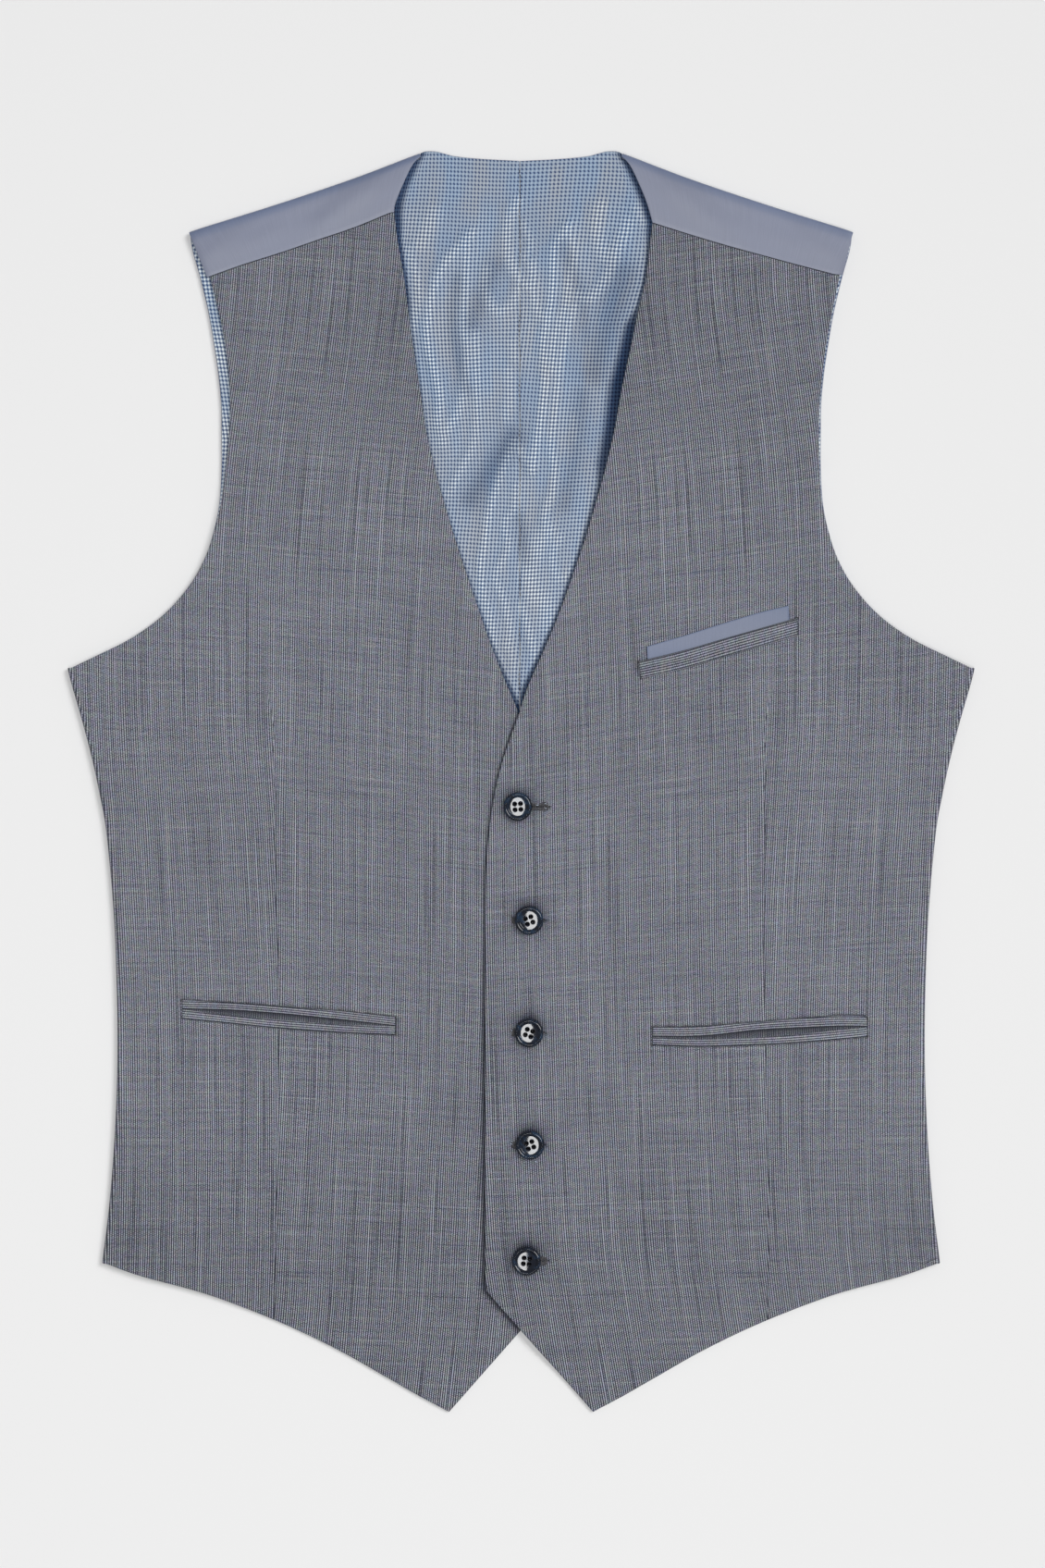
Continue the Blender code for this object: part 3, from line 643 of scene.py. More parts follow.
front = {
    "cutawayColumns": 14, "hemColumns": 52, "dartColumn": 40, "lowerRows": 104, "upperRows": 74,
    "foldSteps": 10, "foldRadius": 1.3, "foldReach": 2.3, "turnUnder": 5, "seamGap": 0.2,
    "dart": {  # x of the dart seam down the front by side: y, x
        1: [(-291, 133.3), (-230, 133.8), (-140, 131.8), (-60, 131.2), (10, 131.8)],
        -1: [(-291, 133.5), (-230, 132.2), (-134, 130.8), (-120, 131.2), (10, 133.8)],
    },
    "dartTop": 10, "dartDepth": 0.3, "dartWide": 0.24, "dartCluster": (0.26, 0.95, 2.6),
    "gatherFades": (25, 110), "dartFill": 0.1, "dartFillAt": 1.7, "grainX": (20, 215), "grainY": 60,
    "weftMiddle": 110, "weftStill": 0.068,
    "lean": {  # y, and how far the hairlines lean to the neck, in degrees, near the edge and near the side
        1: [
            (-308, 10, 10), (-268, 8.5, 7), (-248, 4.5, 4.5), (-228, 3, 3), (-208, 3, 1.5), (-168, 1.8, 0),
            (-108, 1.3, -1.5), (-68, 0.5, -2), (-28, 0.5, -4), (12, 1, -3), (52, 1.5, -1), (92, 2.5, -1),
            (132, 2.8, 2), (152, 3.5, 3), (172, 5, 5.5), (192, 6.5, 7.5), (232, 7.3, 9), (252, 6.5, 7.5),
            (272, 3.3, 2.5), (292, 2, 2),
        ],
        -1: [
            (-308, 6, 3), (-288, 5, 2), (-268, 3, 1.5), (-228, 2.8, 0.7), (-188, 3, 0), (-148, 1.5, -0.5),
            (-108, 0.8, -2), (-68, 0, -3), (-28, 0.2, -3), (-8, 0.7, -4.5), (12, 0.5, -3.3), (52, 1.5, -1),
            (92, 2.5, 0), (132, 3.5, 3.5), (172, 6, 6), (212, 7.2, 8.5), (232, 7.3, 8), (252, 7, 6),
            (272, 5.5, 4), (292, 4, 4),
        ],
    },
    "weftLean": {  # y, and the weft's rise away from the middle, in degrees, near the edge and near the side
        1: [
            (-300, 1, 0), (-210, 1, 0.3), (-135, 3.2, 1.5), (-60, 5.7, 3.6), (-25, 7, 2), (10, 8, 0.5),
            (35, 8.5, 1), (90, 9.2, 6), (145, 9.5, 9.5), (221, 10, 10), (300, 8, 8),
        ],
        -1: [
            (-300, 2, 0), (-206, 2.8, 0), (-120, 4.8, 0), (-46, 6.2, 0), (8, 6.8, -1), (61, 7.5, 2.5),
            (100, 6.5, 5), (148, 5, 5), (221, 5, 5), (300, 5, 5),
        ],
    },
    "creases": {  # x0, y0, x1, y1, bow, width, height
        1: [
            (112, 288, 143, 178, -4, 6, -0.4), (136, 280, 152, 190, 3, 5, 0.3),
            (96, 292, 118, 205, 3, 7, 0.28), (131, 44, 131.5, -30, 0, 7, -0.45),
            (150, 38, 60, -96, 9, 9, 0.42), (128, 5, 52, -60, 6, 8, -0.34),
            (112, -30, 30, -118, -5, 9, -0.3), (196, 40, 205, -90, 5, 10, 0.3),
            (160, -146, 188, -240, 4, 14, 0.45), (205, -180, 214, -258, 2, 9, -0.32),
            (90, -150, 70, -262, 5, 12, 0.34), (28, -284, 92, -302, 3, 8, -0.34),
            (40, 22, 92, 48, -4, 9, 0.3), (180, 92, 150, 60, 3, 9, -0.32), (30, -40, 64, -34, 2, 6, -0.28),
            (60, 118, 88, 196, 4, 10, 0.3),
        ],
        -1: [
            (133, 262, 130, 196, 2, 5, -0.38), (108, 252, 106, 196, -2, 6, -0.34),
            (120, 268, 118, 190, 2, 6, 0.3), (78, 262, 90, 150, 4, 10, 0.28),
            (134, 34, 132, -28, 0, 7, -0.4), (140, 26, 62, -34, 6, 9, -0.4), (146, 44, 52, -14, 8, 8, 0.34),
            (120, -34, 34, -104, -6, 10, 0.3), (196, 30, 206, -80, 5, 11, -0.28),
            (222, -214, 150, -258, -4, 11, -0.36), (176, -146, 196, -224, 4, 13, 0.4),
            (116, -262, 84, -274, 2, 7, -0.32), (132, -150, 131, -184, 0, 5, -0.3),
            (86, -146, 66, -252, 5, 12, 0.32), (178, 92, 148, 62, 3, 9, -0.32),
            (64, -52, 30, -20, 3, 9, 0.26),
        ],
    },
    "veeLift": {1: 3.4, -1: 1.3},  # the vee's edge stands off the lining at the chest
    "veeLiftReach": 46, "veeLiftLow": (90, 190), "veeLiftHigh": (215, 285),
    "lappedX": (20, 40), "lappedY": (40, 80),  # pressed flat where the fronts lap
    "flat": {1: (0.276, 0.644), -1: (0.276, 0.649)},
}


def tabled(y, rows, column=1):
    rows = np.array(rows, float)
    return np.interp(y, rows[:, 0], rows[:, column])


def frontBase(x, y, side):  # middle of a front's cloth, as it lies on what is under it
    low = layers["frontLow"]
    z = low + (layers["front"] - low) * ease(y, *layers["drop"])
    if side > 0:
        lap = (1 - ease(x, *layers["lapX"])) * (1 - ease(y, *layers["lapHigh"])) * ease(y, *layers["lapLow"])
        z = z + lap * layers["lapRise"]
    return z


def veeHalf(y, side):  # half width of the vee at a height
    return tabled(y, smoothCurve(ofSide(outline["vee"], side)))


def frontRelief(x, y, side):  # its creases, and the vee's edge where it stands off the lining
    f = front
    inside = 1 - ease(x - veeHalf(y, side), 0, f["veeLiftReach"])
    lift = f["veeLift"][side] * inside * ease(y, *f["veeLiftLow"]) * (1 - ease(y, *f["veeLiftHigh"]))
    lapped = (1 - ease(x, *f["lappedX"])) * (1 - ease(y, *f["lappedY"]))
    return (creaseHeight(x, y, f["creases"][side]) + lift) * (1 - lapped)


def frontTop(x, y, side):
    return frontBase(x, y, side) + frontRelief(x, y, side) + layers["frontThick"] / 2


def topAt(x, y, side=1):  # the same at one place
    return float(frontTop(np.array(x), np.array(y), side))


def dartX(y, side):
    waver = 1 + 1.6 * ease(y, -60, -10)
    return tabled(y, front["dart"][side]) + waver * (0.2 * np.sin(y / 6.1) + 0.12 * np.sin(y / 2.7 + 1))


def frontGrain(x, y, side, outerPanel):
    # Place on the cloth: across the hairlines and along them, both in metres.
    f = front
    steps = np.arange(-345.0, 346.0)
    shifts = []
    for k in (1, 2):
        shift = np.concatenate([[0], np.cumsum(np.tan(np.radians(tabled(steps[1:], f["lean"][side], k))))])
        shifts.append(np.interp(y, steps, shift - np.interp(f["grainY"], steps, shift)))
    near, far = f["grainX"]
    below = 1 - ease(y, f["dartTop"] - 6, f["dartTop"] + 60)
    share = ease(x, near, far) * (1 - below) + below * (1 if outerPanel else 0)
    u = x + shifts[0] * (1 - share) + shifts[1] * share
    slopes = [np.tan(np.radians(tabled(y, f["weftLean"][side], k))) for k in (1, 2)]
    t = np.clip((x - near) / (far - near), 0, 1)
    sideRun = (far - near) * (t**3 - t**4 / 2 - f["weftStill"])  # the side's share of the rise, added up
    sideRun = sideRun * (1 - below) + below * (x - f["weftMiddle"] if outerPanel else 0)
    v = y - slopes[0] * (x - f["weftMiddle"] - sideRun) - slopes[1] * sideRun
    return np.stack([u, v], axis=-1) * mm


def gatherAtDart(flat, side):  # slides the columns along their rows so that one runs down the dart seam
    tip, dart, near = [front[key] for key in ("cutawayColumns", "dartColumn", "dartCluster")]
    low, high = dart - len(near), dart + len(near)
    for row in flat:
        xs, ys = row.T.copy()
        seamX = dartX(ys[dart], side)
        new = xs.copy()
        inner, outer = (seamX - near[-1] - xs[tip]) / (xs[low] - xs[tip]), xs[-1] - seamX - near[-1]
        new[tip:low + 1] = xs[tip] + (xs[tip:low + 1] - xs[tip]) * inner
        new[high:] = xs[-1] - (xs[-1] - xs[high:]) * outer / (xs[-1] - xs[high])
        new[dart] = seamX
        for step, distance in enumerate(near, 1):
            new[dart - step], new[dart + step] = seamX - distance, seamX + distance
        new = xs + (new - xs) * (1 - ease(ys[dart], *front["gatherFades"]))
        row[:, 0], row[:, 1] = new, np.interp(new, xs, ys)
    return flat


def frontFlat(side):  # rows of points from the front edge to the side, from the hem up
    f, o = front, outline
    arm = [(row[2 if side > 0 else 3], row[0]) for row in o["armhole"]]
    vee = [(half, y) for y, half in ofSide(o["vee"], side)]
    seam = [(x, y - f["seamGap"]) for x, y in ofSide(o["shoulderSeam"], side)]
    edgeSide = [(half - f["foldReach"], y) for y, half in o["side"]]
    corner = (vee[0][0] - o["veeStep"], o["chestY"])
    start, tip, last = o["cutaway"][0], o["hem"][0], o["hem"][-1]
    shares = twoRuns((tip[0] - start[0]) / (last[0] - start[0]), f["cutawayColumns"], f["hemColumns"])
    bottom = np.concatenate([
        along(o["cutaway"], even(f["cutawayColumns"]))[:-1],
        along(o["hem"][:-1] + [(edgeSide[0][0], last[1])], even(f["hemColumns"])),
    ])
    chest = np.array(corner) + shares[:, None] * (np.array(edgeSide[-1]) - corner)
    lower = coonsPatch(bottom, chest, o["frontEdge"] + [corner], edgeSide, shares, even(f["lowerRows"]))
    seamFrom, seamTo = o["seamEnds"][side]
    top = lineAt(seam, seamFrom + shares * (seamTo - seamFrom))
    armhole = [tuple(chest[-1])] + arm[1:-1] + [tuple(top[-1])]
    upper = coonsPatch(chest, top, [corner] + vee + [tuple(top[0])], armhole, shares, even(f["upperRows"]))
    return gatherAtDart(np.concatenate([lower, upper[1:]]), side)


def makeFront(name, side, node):
    f = front
    flat = frontFlat(side)
    x, y = flat[..., 0], flat[..., 1]
    half = layers["frontThick"] / 2
    base = frontBase(x, y, side) + frontRelief(x, y, side)
    away = np.abs(x - dartX(y, side))
    sewn = 1 - ease(y, f["dartTop"] - 14, f["dartTop"])
    groove = f["dartDepth"] * sewn * np.exp(-((away / f["dartWide"]) ** 2))
    groove = groove - f["dartFill"] * sewn * np.exp(-((away - f["dartFillAt"]) ** 2))
    outer, inner = pointGrid(x, y, base + half - groove), pointGrid(x, y, base - half)
    # painted shade: a thin dark line down the dart's groove, on the seam column and faintly beside it
    seam = np.zeros(x.shape)
    column = f["dartColumn"]
    wiggle = 0.75 + 0.25 * np.sin(y[:, column] / 3.3) * np.sin(y[:, column] / 1.9)
    seam[:, column] = sewn[:, column] * wiggle
    seam[:, column - 1] = seam[:, column + 1] = 0.05 * seam[:, column]
    grains = [frontGrain(x, y, side, outerPanel) for outerPanel in (False, True)]

    radius, under = f["foldRadius"], f["turnUnder"]  # round the side, and a little way under
    turns = pi * even(f["foldSteps"])[1:]
    folds = [(radius * sin(t), -radius * (1 - cos(t)), sin(t), cos(t), radius * t) for t in turns]
    folds += [(-under * share, -2 * radius, 0, -1, pi * radius + under * share) for share in (0.5, 1)]
    ends, lastGrains = pointGrid(x[:, -1], y[:, -1], base[:, -1]), [grain[:, -1:] for grain in grains]
    for outX, outZ, normalX, normalZ, run in folds:
        mid, normal = ends + [outX, 0, outZ], np.array([normalX, 0, normalZ]) * half
        outer = np.append(outer, (mid + normal)[:, None], axis=1)
        inner = np.append(inner, (mid - normal)[:, None], axis=1)
        grains = [np.append(grain, last + [run * mm, 0], axis=1) for grain, last in zip(grains, lastGrains)]
        seam = np.append(seam, np.zeros((len(seam), 1)), axis=1)
    missing = np.zeros(outer.shape[:2], bool)
    missing[f["lowerRows"] + 1:, flat.shape[1]:] = True
    return clothShell(
        name, side, outer, inner, grains, worsted, layers["roll"], missing, f["dartColumn"], {"seam": seam},
        ("worsted", node),
    )


frontLeft, frontRight = makeFront("frontLeft", 1, "front_left"), makeFront("frontRight", -1, "front_right")
print("fronts made:", len(frontLeft.data.polygons), len(frontRight.data.polygons), "faces")


# back and lining

back = {
    "neckColumns": 28, "shoulderColumns": 38, "lowerRows": 46, "upperRows": 64, "foldSteps": 10,
    "stripRows": 12, "seamX": -0.75, "seamGap": 0.15, "sideInset": 7.6, "hemHalf": 225.6, "hemSideY": -253,
    "hemCentreY": -255, "foldRadius": 1.55, "foldZ": 2.05, "foldShade": 0.8, "edgeRoll": 0.25,
    "edgeInset": 0, "shoulderInset": 2.05, "hemRise": 0, "stripWider": 1.5, "creasesFade": (270, 310),
    "creases": [  # on the outside of the back, which lies underneath
        (30, 280, 40, 90, 5, 9, 0.2), (90, 250, 70, 40, -6, 11, 0.16), (60, 20, 90, -180, 5, 10, 0.2),
        (150, 120, 165, -60, -4, 9, 0.16), (120, -60, 100, -240, 4, 12, 0.18),
        (190, -20, 180, -200, 4, 8, 0.15),
    ],
    "stripCreases": [
        (75, 326, 112, 296, 3, 6, 0.35), (120, 312, 165, 284, -3, 7, 0.28), (95, 312, 150, 296, 2, 5, -0.25),
        (150, 300, 172, 282, 2, 5, 0.25),
    ],
    "flat": (0.24, 0.63),
}

lining = {
    "neckColumns": 46, "shoulderColumns": 44, "lowerRows": 36, "upperRows": 186,
    "edgeInset": 0.4, "shoulderInset": 3, "hemRise": 3, "ridgeHeight": 0.6, "ridgeSpread": 2,
    "lustreSpread": 1.55, "seamDepth": 0.25, "seamWide": 1.2, "edgeRoll": 0.2, "viewX": 90,
    "shoulderSplit": 0.16,  # the columns are closer where the lining shows beside the neck
    "hollows": [  # width, depth, and the path of each fold's dark side
        (5, 0.3, [(-14, 279), (-22, 262), (-27, 248)]), (9, 0.4, [(56, 274), (48, 250), (40, 222)]),
        (6.5, 0.42, [(-4, 186), (-16, 170), (-27, 153)]), (4, 0.25, [(-1, 142), (3, 120)]),
        (3.5, 0.28, [(-35, 272), (-37, 246), (-30, 212)]), (5, 0.28, [(33, 210), (29, 176), (24, 150)]),
        (4, 0.24, [(22, 290), (33, 262), (36, 236)]), (4, 0.22, [(24, 96), (16, 70), (8, 52)]),
    ],
    "lustre": [  # width, strength, and the path of each fold's bright line in whole-garment places
        (3.8, 0.75, [(-47, 307), (-54, 292)]), (2, 0.8, [(-61, 288), (-57, 272), (-56, 260), (-58, 246)]),
        (1.9, 1, [
            (-26, 297), (-40, 282), (-47, 268), (-50, 252), (-51, 238), (-47, 222), (-44, 207), (-46, 192),
        ]),
        (3.4, 0.8, [(-46, 196), (-43, 184)]),
        (2, 0.9, [(-29, 295), (-31, 247), (-29, 232), (-33, 203), (-40, 190)]),
        (2, 0.8, [(-25, 242), (-24, 222), (-24, 198), (-26, 182), (-32, 170), (-39, 156)]),
        (2.3, 0.9, [(-2, 314), (-7, 302), (-7, 285), (-1, 272), (6, 267)]),
        (1.6, 0.6, [(1, 302), (5, 291), (2, 283)]), (2, 0.9, [(6, 280), (7, 262), (10, 252), (14, 253)]),
        (2.4, 0.8, [(-19, 277), (-20, 266), (-14, 255), (-6, 257), (-1, 267)]),
        (2, 1, [
            (25, 300), (18, 288), (17, 268), (15, 252), (12, 238), (13, 218), (11, 197), (8, 182), (6, 168),
        ]),
        (2, 0.9, [(25, 300), (29, 286), (26, 272), (24, 257), (18, 240), (17, 222)]),
        (1.8, 0.9, [
            (29, 257), (23, 237), (20, 217), (18, 197), (16, 182), (18, 170), (17, 157), (13, 145),
            (14, 135),
        ]),
        (3.2, 0.8, [(43, 311), (41, 297), (46, 284), (50, 287), (55, 295), (58, 302)]),
        (3, 0.6, [(63, 310), (68, 302)]), (2.4, 0.9, [(54, 291), (46, 272), (38, 262), (31, 263)]),
        (2.5, 0.7, [(-5, 238), (-4, 230)]), (2.8, 0.7, [(-7, 222), (-6, 210), (-8, 198)]),
        (2.3, 0.6, [(28, 197), (29, 185)]),
        (1.8, 1, [
            (-4, 184), (-9, 172), (-14, 157), (-18, 142), (-20, 127), (-22, 117), (-21, 102), (-17, 87),
            (-15, 75),
        ]),
        (1.9, 0.8, [(-1, 180), (6, 170)]),
        (1.8, 0.8, [
            (-3, 160), (-4, 147), (-9, 140), (-7, 127), (-12, 116), (-14, 110), (-9, 97), (-6, 82), (-8, 72),
        ]),
        (4.6, 0.9, [(14, 135), (8, 125), (4, 115), (7, 102), (13, 97), (16, 85)]),
        (2, 0.8, [(21, 132), (17, 122), (20, 110), (28, 115), (32, 125)]),
        (2, 0.9, [(0, 95), (4, 82), (8, 67), (9, 60)]), (1.7, 0.6, [(-5, 72), (-4, 60)]),
    ],
    "shadow": {  # y, how far the front's edge shades the lining, and how deeply
        1: [
            (45, 3, 0.9), (75, 2.2, 0.8), (160, 1.8, 0.75), (172, 5.6, 0.9), (215, 8, 1), (247, 6.2, 0.95),
            (257, 1.8, 0.7), (290, 2, 0.75), (301, 3.6, 0.95), (335, 3.4, 0.9),
        ],
        -1: [
            (45, 2.8, 0.9), (75, 1.6, 0.7), (150, 1, 0.4), (245, 1.3, 0.5), (260, 2, 0.85), (281, 1.9, 0.9),
            (294, 2.6, 0.95), (303, 4, 0.95), (310, 4.6, 0.95), (319, 3.7, 0.9), (335, 3.4, 0.9),
        ],
    },
    "weave": {  # y, how much closer the dots stand across, and their lean to the neck, by side
        1: [(40, 1.2, 0.06), (92, 1.2, 0.06), (132, 1.17, 0.1), (185, 1.16, 0.04), (247, 1.12, 0.1),
            (270, 1.05, 0.05), (330, 0.99, 0.04)],
        -1: [(40, 1.2, 0.06), (92, 1.2, 0.06), (132, 1.15, 0.1), (185, 1.17, -0.01), (235, 1.13, -0.03),
             (282, 1.08, 0.06), (330, 1.09, 0.07)],
    },
    "flat": (0.235, 0.6),
}


def backFlat(side, part):  # rows of points from the middle to the side, from the hem up
    inset, neckColumns, count = [part[key] for key in ("edgeInset", "neckColumns", "shoulderColumns")]
    seamX = side * back["seamX"] + back["seamGap"]
    split = outline["neckline"][-1][0] / outline["shoulderFold"][-1][0]
    shoulder = even(count) if part is back else twoRuns(part["shoulderSplit"], count // 2, count // 2)
    shares = np.concatenate([even(neckColumns)[:-1] * split, split + shoulder * (1 - split)])
    arm = [(row[1], row[0]) for row in outline["armhole"]] + [(half, y) for y, half in outline["backArmTop"]]
    arm = [tuple(p) for p in offsetLine(arm, inset)]
    sides = [(half - back["sideInset"], y) for y, half in outline["side"][1:]]
    sides.insert(0, (back["hemHalf"] - back["sideInset"], back["hemSideY"] + part["hemRise"]))
    neck = along(outline["neckline"], even(neckColumns)) - [0, inset]
    neck[0, 0] = seamX
    fold = offsetLine(along(outline["shoulderFold"], shoulder), -part["shoulderInset"])
    if part is lining:  # reaches the corner, beside the end of the shoulder fold
        fold[0] = (neck[-1] + neck[-2]) / 2
    fold[-1] -= [inset, 0]
    top = np.concatenate([neck[:-1], fold])
    chest = np.array([seamX, outline["chestY"]])
    chest = chest + shares[:, None] * (sides[-1] - chest)
    hem = np.array([seamX, back["hemCentreY"] + part["hemRise"]])
    hem = hem + shares[:, None] * (sides[0] - hem)
    centre = [(seamX, y) for y in (hem[0, 1], outline["chestY"], top[0, 1])]
    lower = coonsPatch(hem, chest, centre[:2], sides, shares, even(part["lowerRows"]))
    armhole = [tuple(chest[-1])] + arm[1:-1] + [tuple(top[-1])]
    upper = coonsPatch(chest, top, centre[1:], armhole, shares, even(part["upperRows"]))
    return np.concatenate([lower, upper[1:]])


def stripFlat(side):  # from the shoulder fold down to the shoulder seam
    fractions = even(back["shoulderColumns"])
    fold = offsetLine(along(outline["shoulderFold"], fractions), -back["shoulderInset"])
    seam = [(x, y + front["seamGap"]) for x, y in ofSide(outline["shoulderSeam"], side)]
    start, end = outline["seamEnds"][side]
    bottom = lineAt(seam, start + fractions * (end + back["stripWider"] - start))
    neck = [tuple(fold[0])] + outline["stripNeck"][1:] + [tuple(bottom[0])]
    end = [tuple(fold[-1]), tuple(bottom[-1])]
    return coonsPatch(fold, bottom, neck, end, fractions, even(back["stripRows"]))


def makeBack(name, side, node):
    b = back
    flat = backFlat(side, b)
    x, y = flat[..., 0], flat[..., 1]
    half, radius = layers["backThick"] / 2, b["foldRadius"]
    rise = creaseHeight(x, y, b["creases"]) * (1 - ease(y, *b["creasesFade"]))
    low = pointGrid(x, y, layers["back"] - half + np.maximum(rise, 0))
    # the fold grid holds painted shade round the shoulder fold
    grids = [low, low + [0, 0, 2 * half], flat * mm, np.zeros((*x.shape, 1))]  # outer, inner, grain and fold
    axis = flat[-1, b["neckColumns"]:].copy()
    out = offsetLine(axis, 1) - axis
    atNeck = np.hypot(*(axis - axis[0]).T)[:, None]
    axis -= out * 0.15 * (1 - ease(atNeck, 0, 5))  # the fold runs out smoothly into the neckline

    def addRow(mid, normal, run, paintedFoldShade):
        place, shade = (axis + out * run) * mm, np.full((len(axis), 1), paintedFoldShade)
        for k, row in enumerate((mid + half * normal, mid - half * normal, place, shade)):
            row = np.concatenate([np.zeros((b["neckColumns"], row.shape[1])), row])
            grids[k] = np.concatenate([grids[k], row[None]])

    # painted shade round the shoulder fold, fading a little way down the strip beneath it
    for turn in pi * even(b["foldSteps"])[1:]:
        mid = pointGrid(*(axis + out * (radius * sin(turn))).T, b["foldZ"] - radius * cos(turn))
        normal = np.concatenate([out * sin(turn), np.full((len(axis), 1), -cos(turn))], axis=1)
        addRow(mid, normal, radius * turn, b["foldShade"] * sin(turn / 2))
    for share, line in zip(even(b["stripRows"])[1:], stripFlat(side)[1:]):
        x, y = line.T
        bulge = 0.3 * sin(pi * share) + creaseHeight(x, y, b["stripCreases"]) * sin(pi * share)
        mid, shade = pointGrid(x, y, layers["front"] + bulge), b["foldShade"] * (1 - ease(share, 0, 0.22))
        addRow(mid, np.array([[0, 0, 1]]), pi * radius + 22 * share, shade)
    outer, inner, grain, fold = grids
    missing = np.zeros(outer.shape[:2], bool)
    missing[len(flat):, :b["neckColumns"]] = True
    return clothShell(
        name, side, outer, inner, [grain], satin, b["edgeRoll"], missing, marks={"fold": fold[..., 0]},
        kind=("satin", node),
    )


def neckHalf(y, side):  # half width of the edge beside the lining: the vee, and the shoulder strip above
    veeEnd = outline["vee"][-1][0]
    seamFoot = [outline["seamEnds"][side][0], ofSide(outline["shoulderSeam"], side)[0][1]]
    upper = np.vstack([[veeHalf(veeEnd, side), veeEnd], seamFoot, smoothCurve(outline["stripNeck"])[::-1]])
    return np.where(y < veeEnd, veeHalf(np.minimum(y, veeEnd), side), np.interp(y, upper[:, 1], upper[:, 0]))


def makeLining(name, side, node):
    p = lining
    flat = backFlat(side, p)
    x, y = flat[..., 0], flat[..., 1]
    wholeX, half = side * x, layers["liningThick"] / 2
    shine, folds = np.zeros(x.shape), np.zeros(x.shape)
    # painted highlight along each fold's bright line, which also raises the ridge beneath it
    for width, strength, path in p["lustre"]:
        path = smoothCurve(path, 4)
        shine = np.maximum(shine, strength * nearness(wholeX, y, path, width * p["lustreSpread"]))
        folds = folds + strength * nearness(wholeX, y, path, width * p["ridgeSpread"])
    under = neckHalf(y, side) - x
    room = ease(under, 1, 8) * ease(y, 40, 62) * (1 - ease(y, 308, 330))  # ridges end short of the fronts
    rise = p["ridgeHeight"] * np.minimum(folds, 1.6) * room
    sewn = p["seamDepth"] * np.exp(-(((x - back["seamGap"]) / p["seamWide"]) ** 2))
    outer = pointGrid(x, y, layers["lining"] + half + rise - sewn)
    inner = pointGrid(x, y, layers["lining"] - half + rise)

    # painted highlight: a faint shine over the lining in view, more towards the neck, and glints in the
    # armhole crescents
    drift = 0.5 + 0.25 * np.sin(x / 5.3 + y / 19) + 0.25 * np.sin(wholeX / 8.1 - y / 13 + 1.3)
    atArm = ease(x, 150, 156) * ease(y, 110, 150)
    for more in (
        (0.10 + 0.34 * drift) * (1 - ease(y, 300, 326)) * (under > 0), 0.2 * ease(y, 296, 316),
        atArm * (0.75 + 0.25 * np.sin(y / 7)),
    ):
        shine = np.maximum(shine, more)
    # painted shade on the lining: along the edges of the fronts and strips, on the folds' dark sides, and
    # deepest at the vee's point
    inView = x < p["viewX"]
    reach, depth = [tabled(y, p["shadow"][side], k) for k in (1, 2)]
    paintedShade = depth * (1 - ease(under, reach * 0.45, reach * 1.35)) * inView
    for width, strength, path in p["hollows"]:
        paintedShade = np.maximum(paintedShade, strength * nearness(wholeX, y, smoothCurve(path, 4), width) * inView)
    paintedShade = np.maximum(paintedShade, (1 - ease(y, 41, 44)) * (x < 10))  # at the vee's point

    crowded = 3.2 * (1 - ease(under, -1, 7)) * ease(y, 284, 300)  # a small fold along the neck of each strip
    steps = np.arange(-300.0, 350.0, 2.0)
    leant = np.cumsum(tabled(steps, p["weave"][side], 2)) * 2
    u = side * (x + crowded + 0.45) * tabled(y, p["weave"][side]) - np.interp(y, steps, leant)
    u = u + 0.7 * np.sin(y / 23 + wholeX / 17) + 0.9 * rise
    v = 0.975 * y + 0.6 * np.sin(wholeX / 14 - y / 31) + 0.5 * rise
    return clothShell(
        name, side, outer, inner, [np.stack([u, v], axis=-1) * mm], dobby, p["edgeRoll"],
        marks={"shine": shine, "paintedShade": np.clip(paintedShade, 0, 1)}, kind=("lining", node),
    )


backs = [makeBack("backLeft", 1, "back_left"), makeBack("backRight", -1, "back_right")]
linings = [makeLining("liningLeft", 1, "lining_left"), makeLining("liningRight", -1, "lining_right")]
print("back and lining made")


# lower pockets

lowerPocket = {
    "stations": {  # x towards the side, top, lip, mouth, bottom, by side
        -1: [
            (183.3, -117.7, -122.5, -123, -128), (156.8, -119.2, -123.3, -126.5, -130.7),
            (126.8, -121.5, -125.5, -129, -133.7), (96.8, -123.8, -128.5, -131.2, -135.7),
            (67.8, -127, -131.7, -132.2, -137),
        ],
        1: [
            (70.8, -132.5, -137.4, -138, -142.5), (98.3, -131.9, -137.2, -139.3, -143.2),
            (128.3, -129.7, -134, -138.3, -142.3), (158.3, -127.2, -132.5, -135.8, -140.4),
            (173, -126.1, -131.9, -134, -139.2), (185.6, -126.4, -132.1, -132.9, -137.9),
            (187.3, -127.7, -132.2, -132.8, -137.6),
        ],
    },
    "columns": 64, "rows": 8, "gap": 0.3, "thick": 1, "proud": 0.5, "sunk": 0.15, "facingRows": 12,
    "facingThick": 0.9, "slotSpare": 0.1, "slotZ": (9, 0), "cut": (0.0105, 0.118, 0.00075),
    "facingCut": (0.0125, 0.118, 0.00118),
}


def pocketLine(side, column):
    rows = sorted((s[0], s[column]) for s in lowerPocket["stations"][side])
    start, end = rows[0][0], rows[-1][0]
    return lineAt(rows, start + even(lowerPocket["columns"]) * (end - start))


def squeezedEnds(flat, inset):  # pulls both ends in, so that a strip stops short of its slot
    x = flat[..., 0]
    middle = (x.min() + x.max()) / 2
    flat[..., 0] = middle + (x - middle) * (1 - 2 * inset / (x.max() - x.min()))
    return flat


def makeStrip(name, side, flat, top, thick, grain, material, roll, kind, marks=None):
    x, y = flat[..., 0], flat[..., 1]
    outer, inner = pointGrid(x, y, top), pointGrid(x, y, top - thick)
    obj = clothShell(name, side, outer, inner, [grain], material, roll, marks=marks, kind=kind)


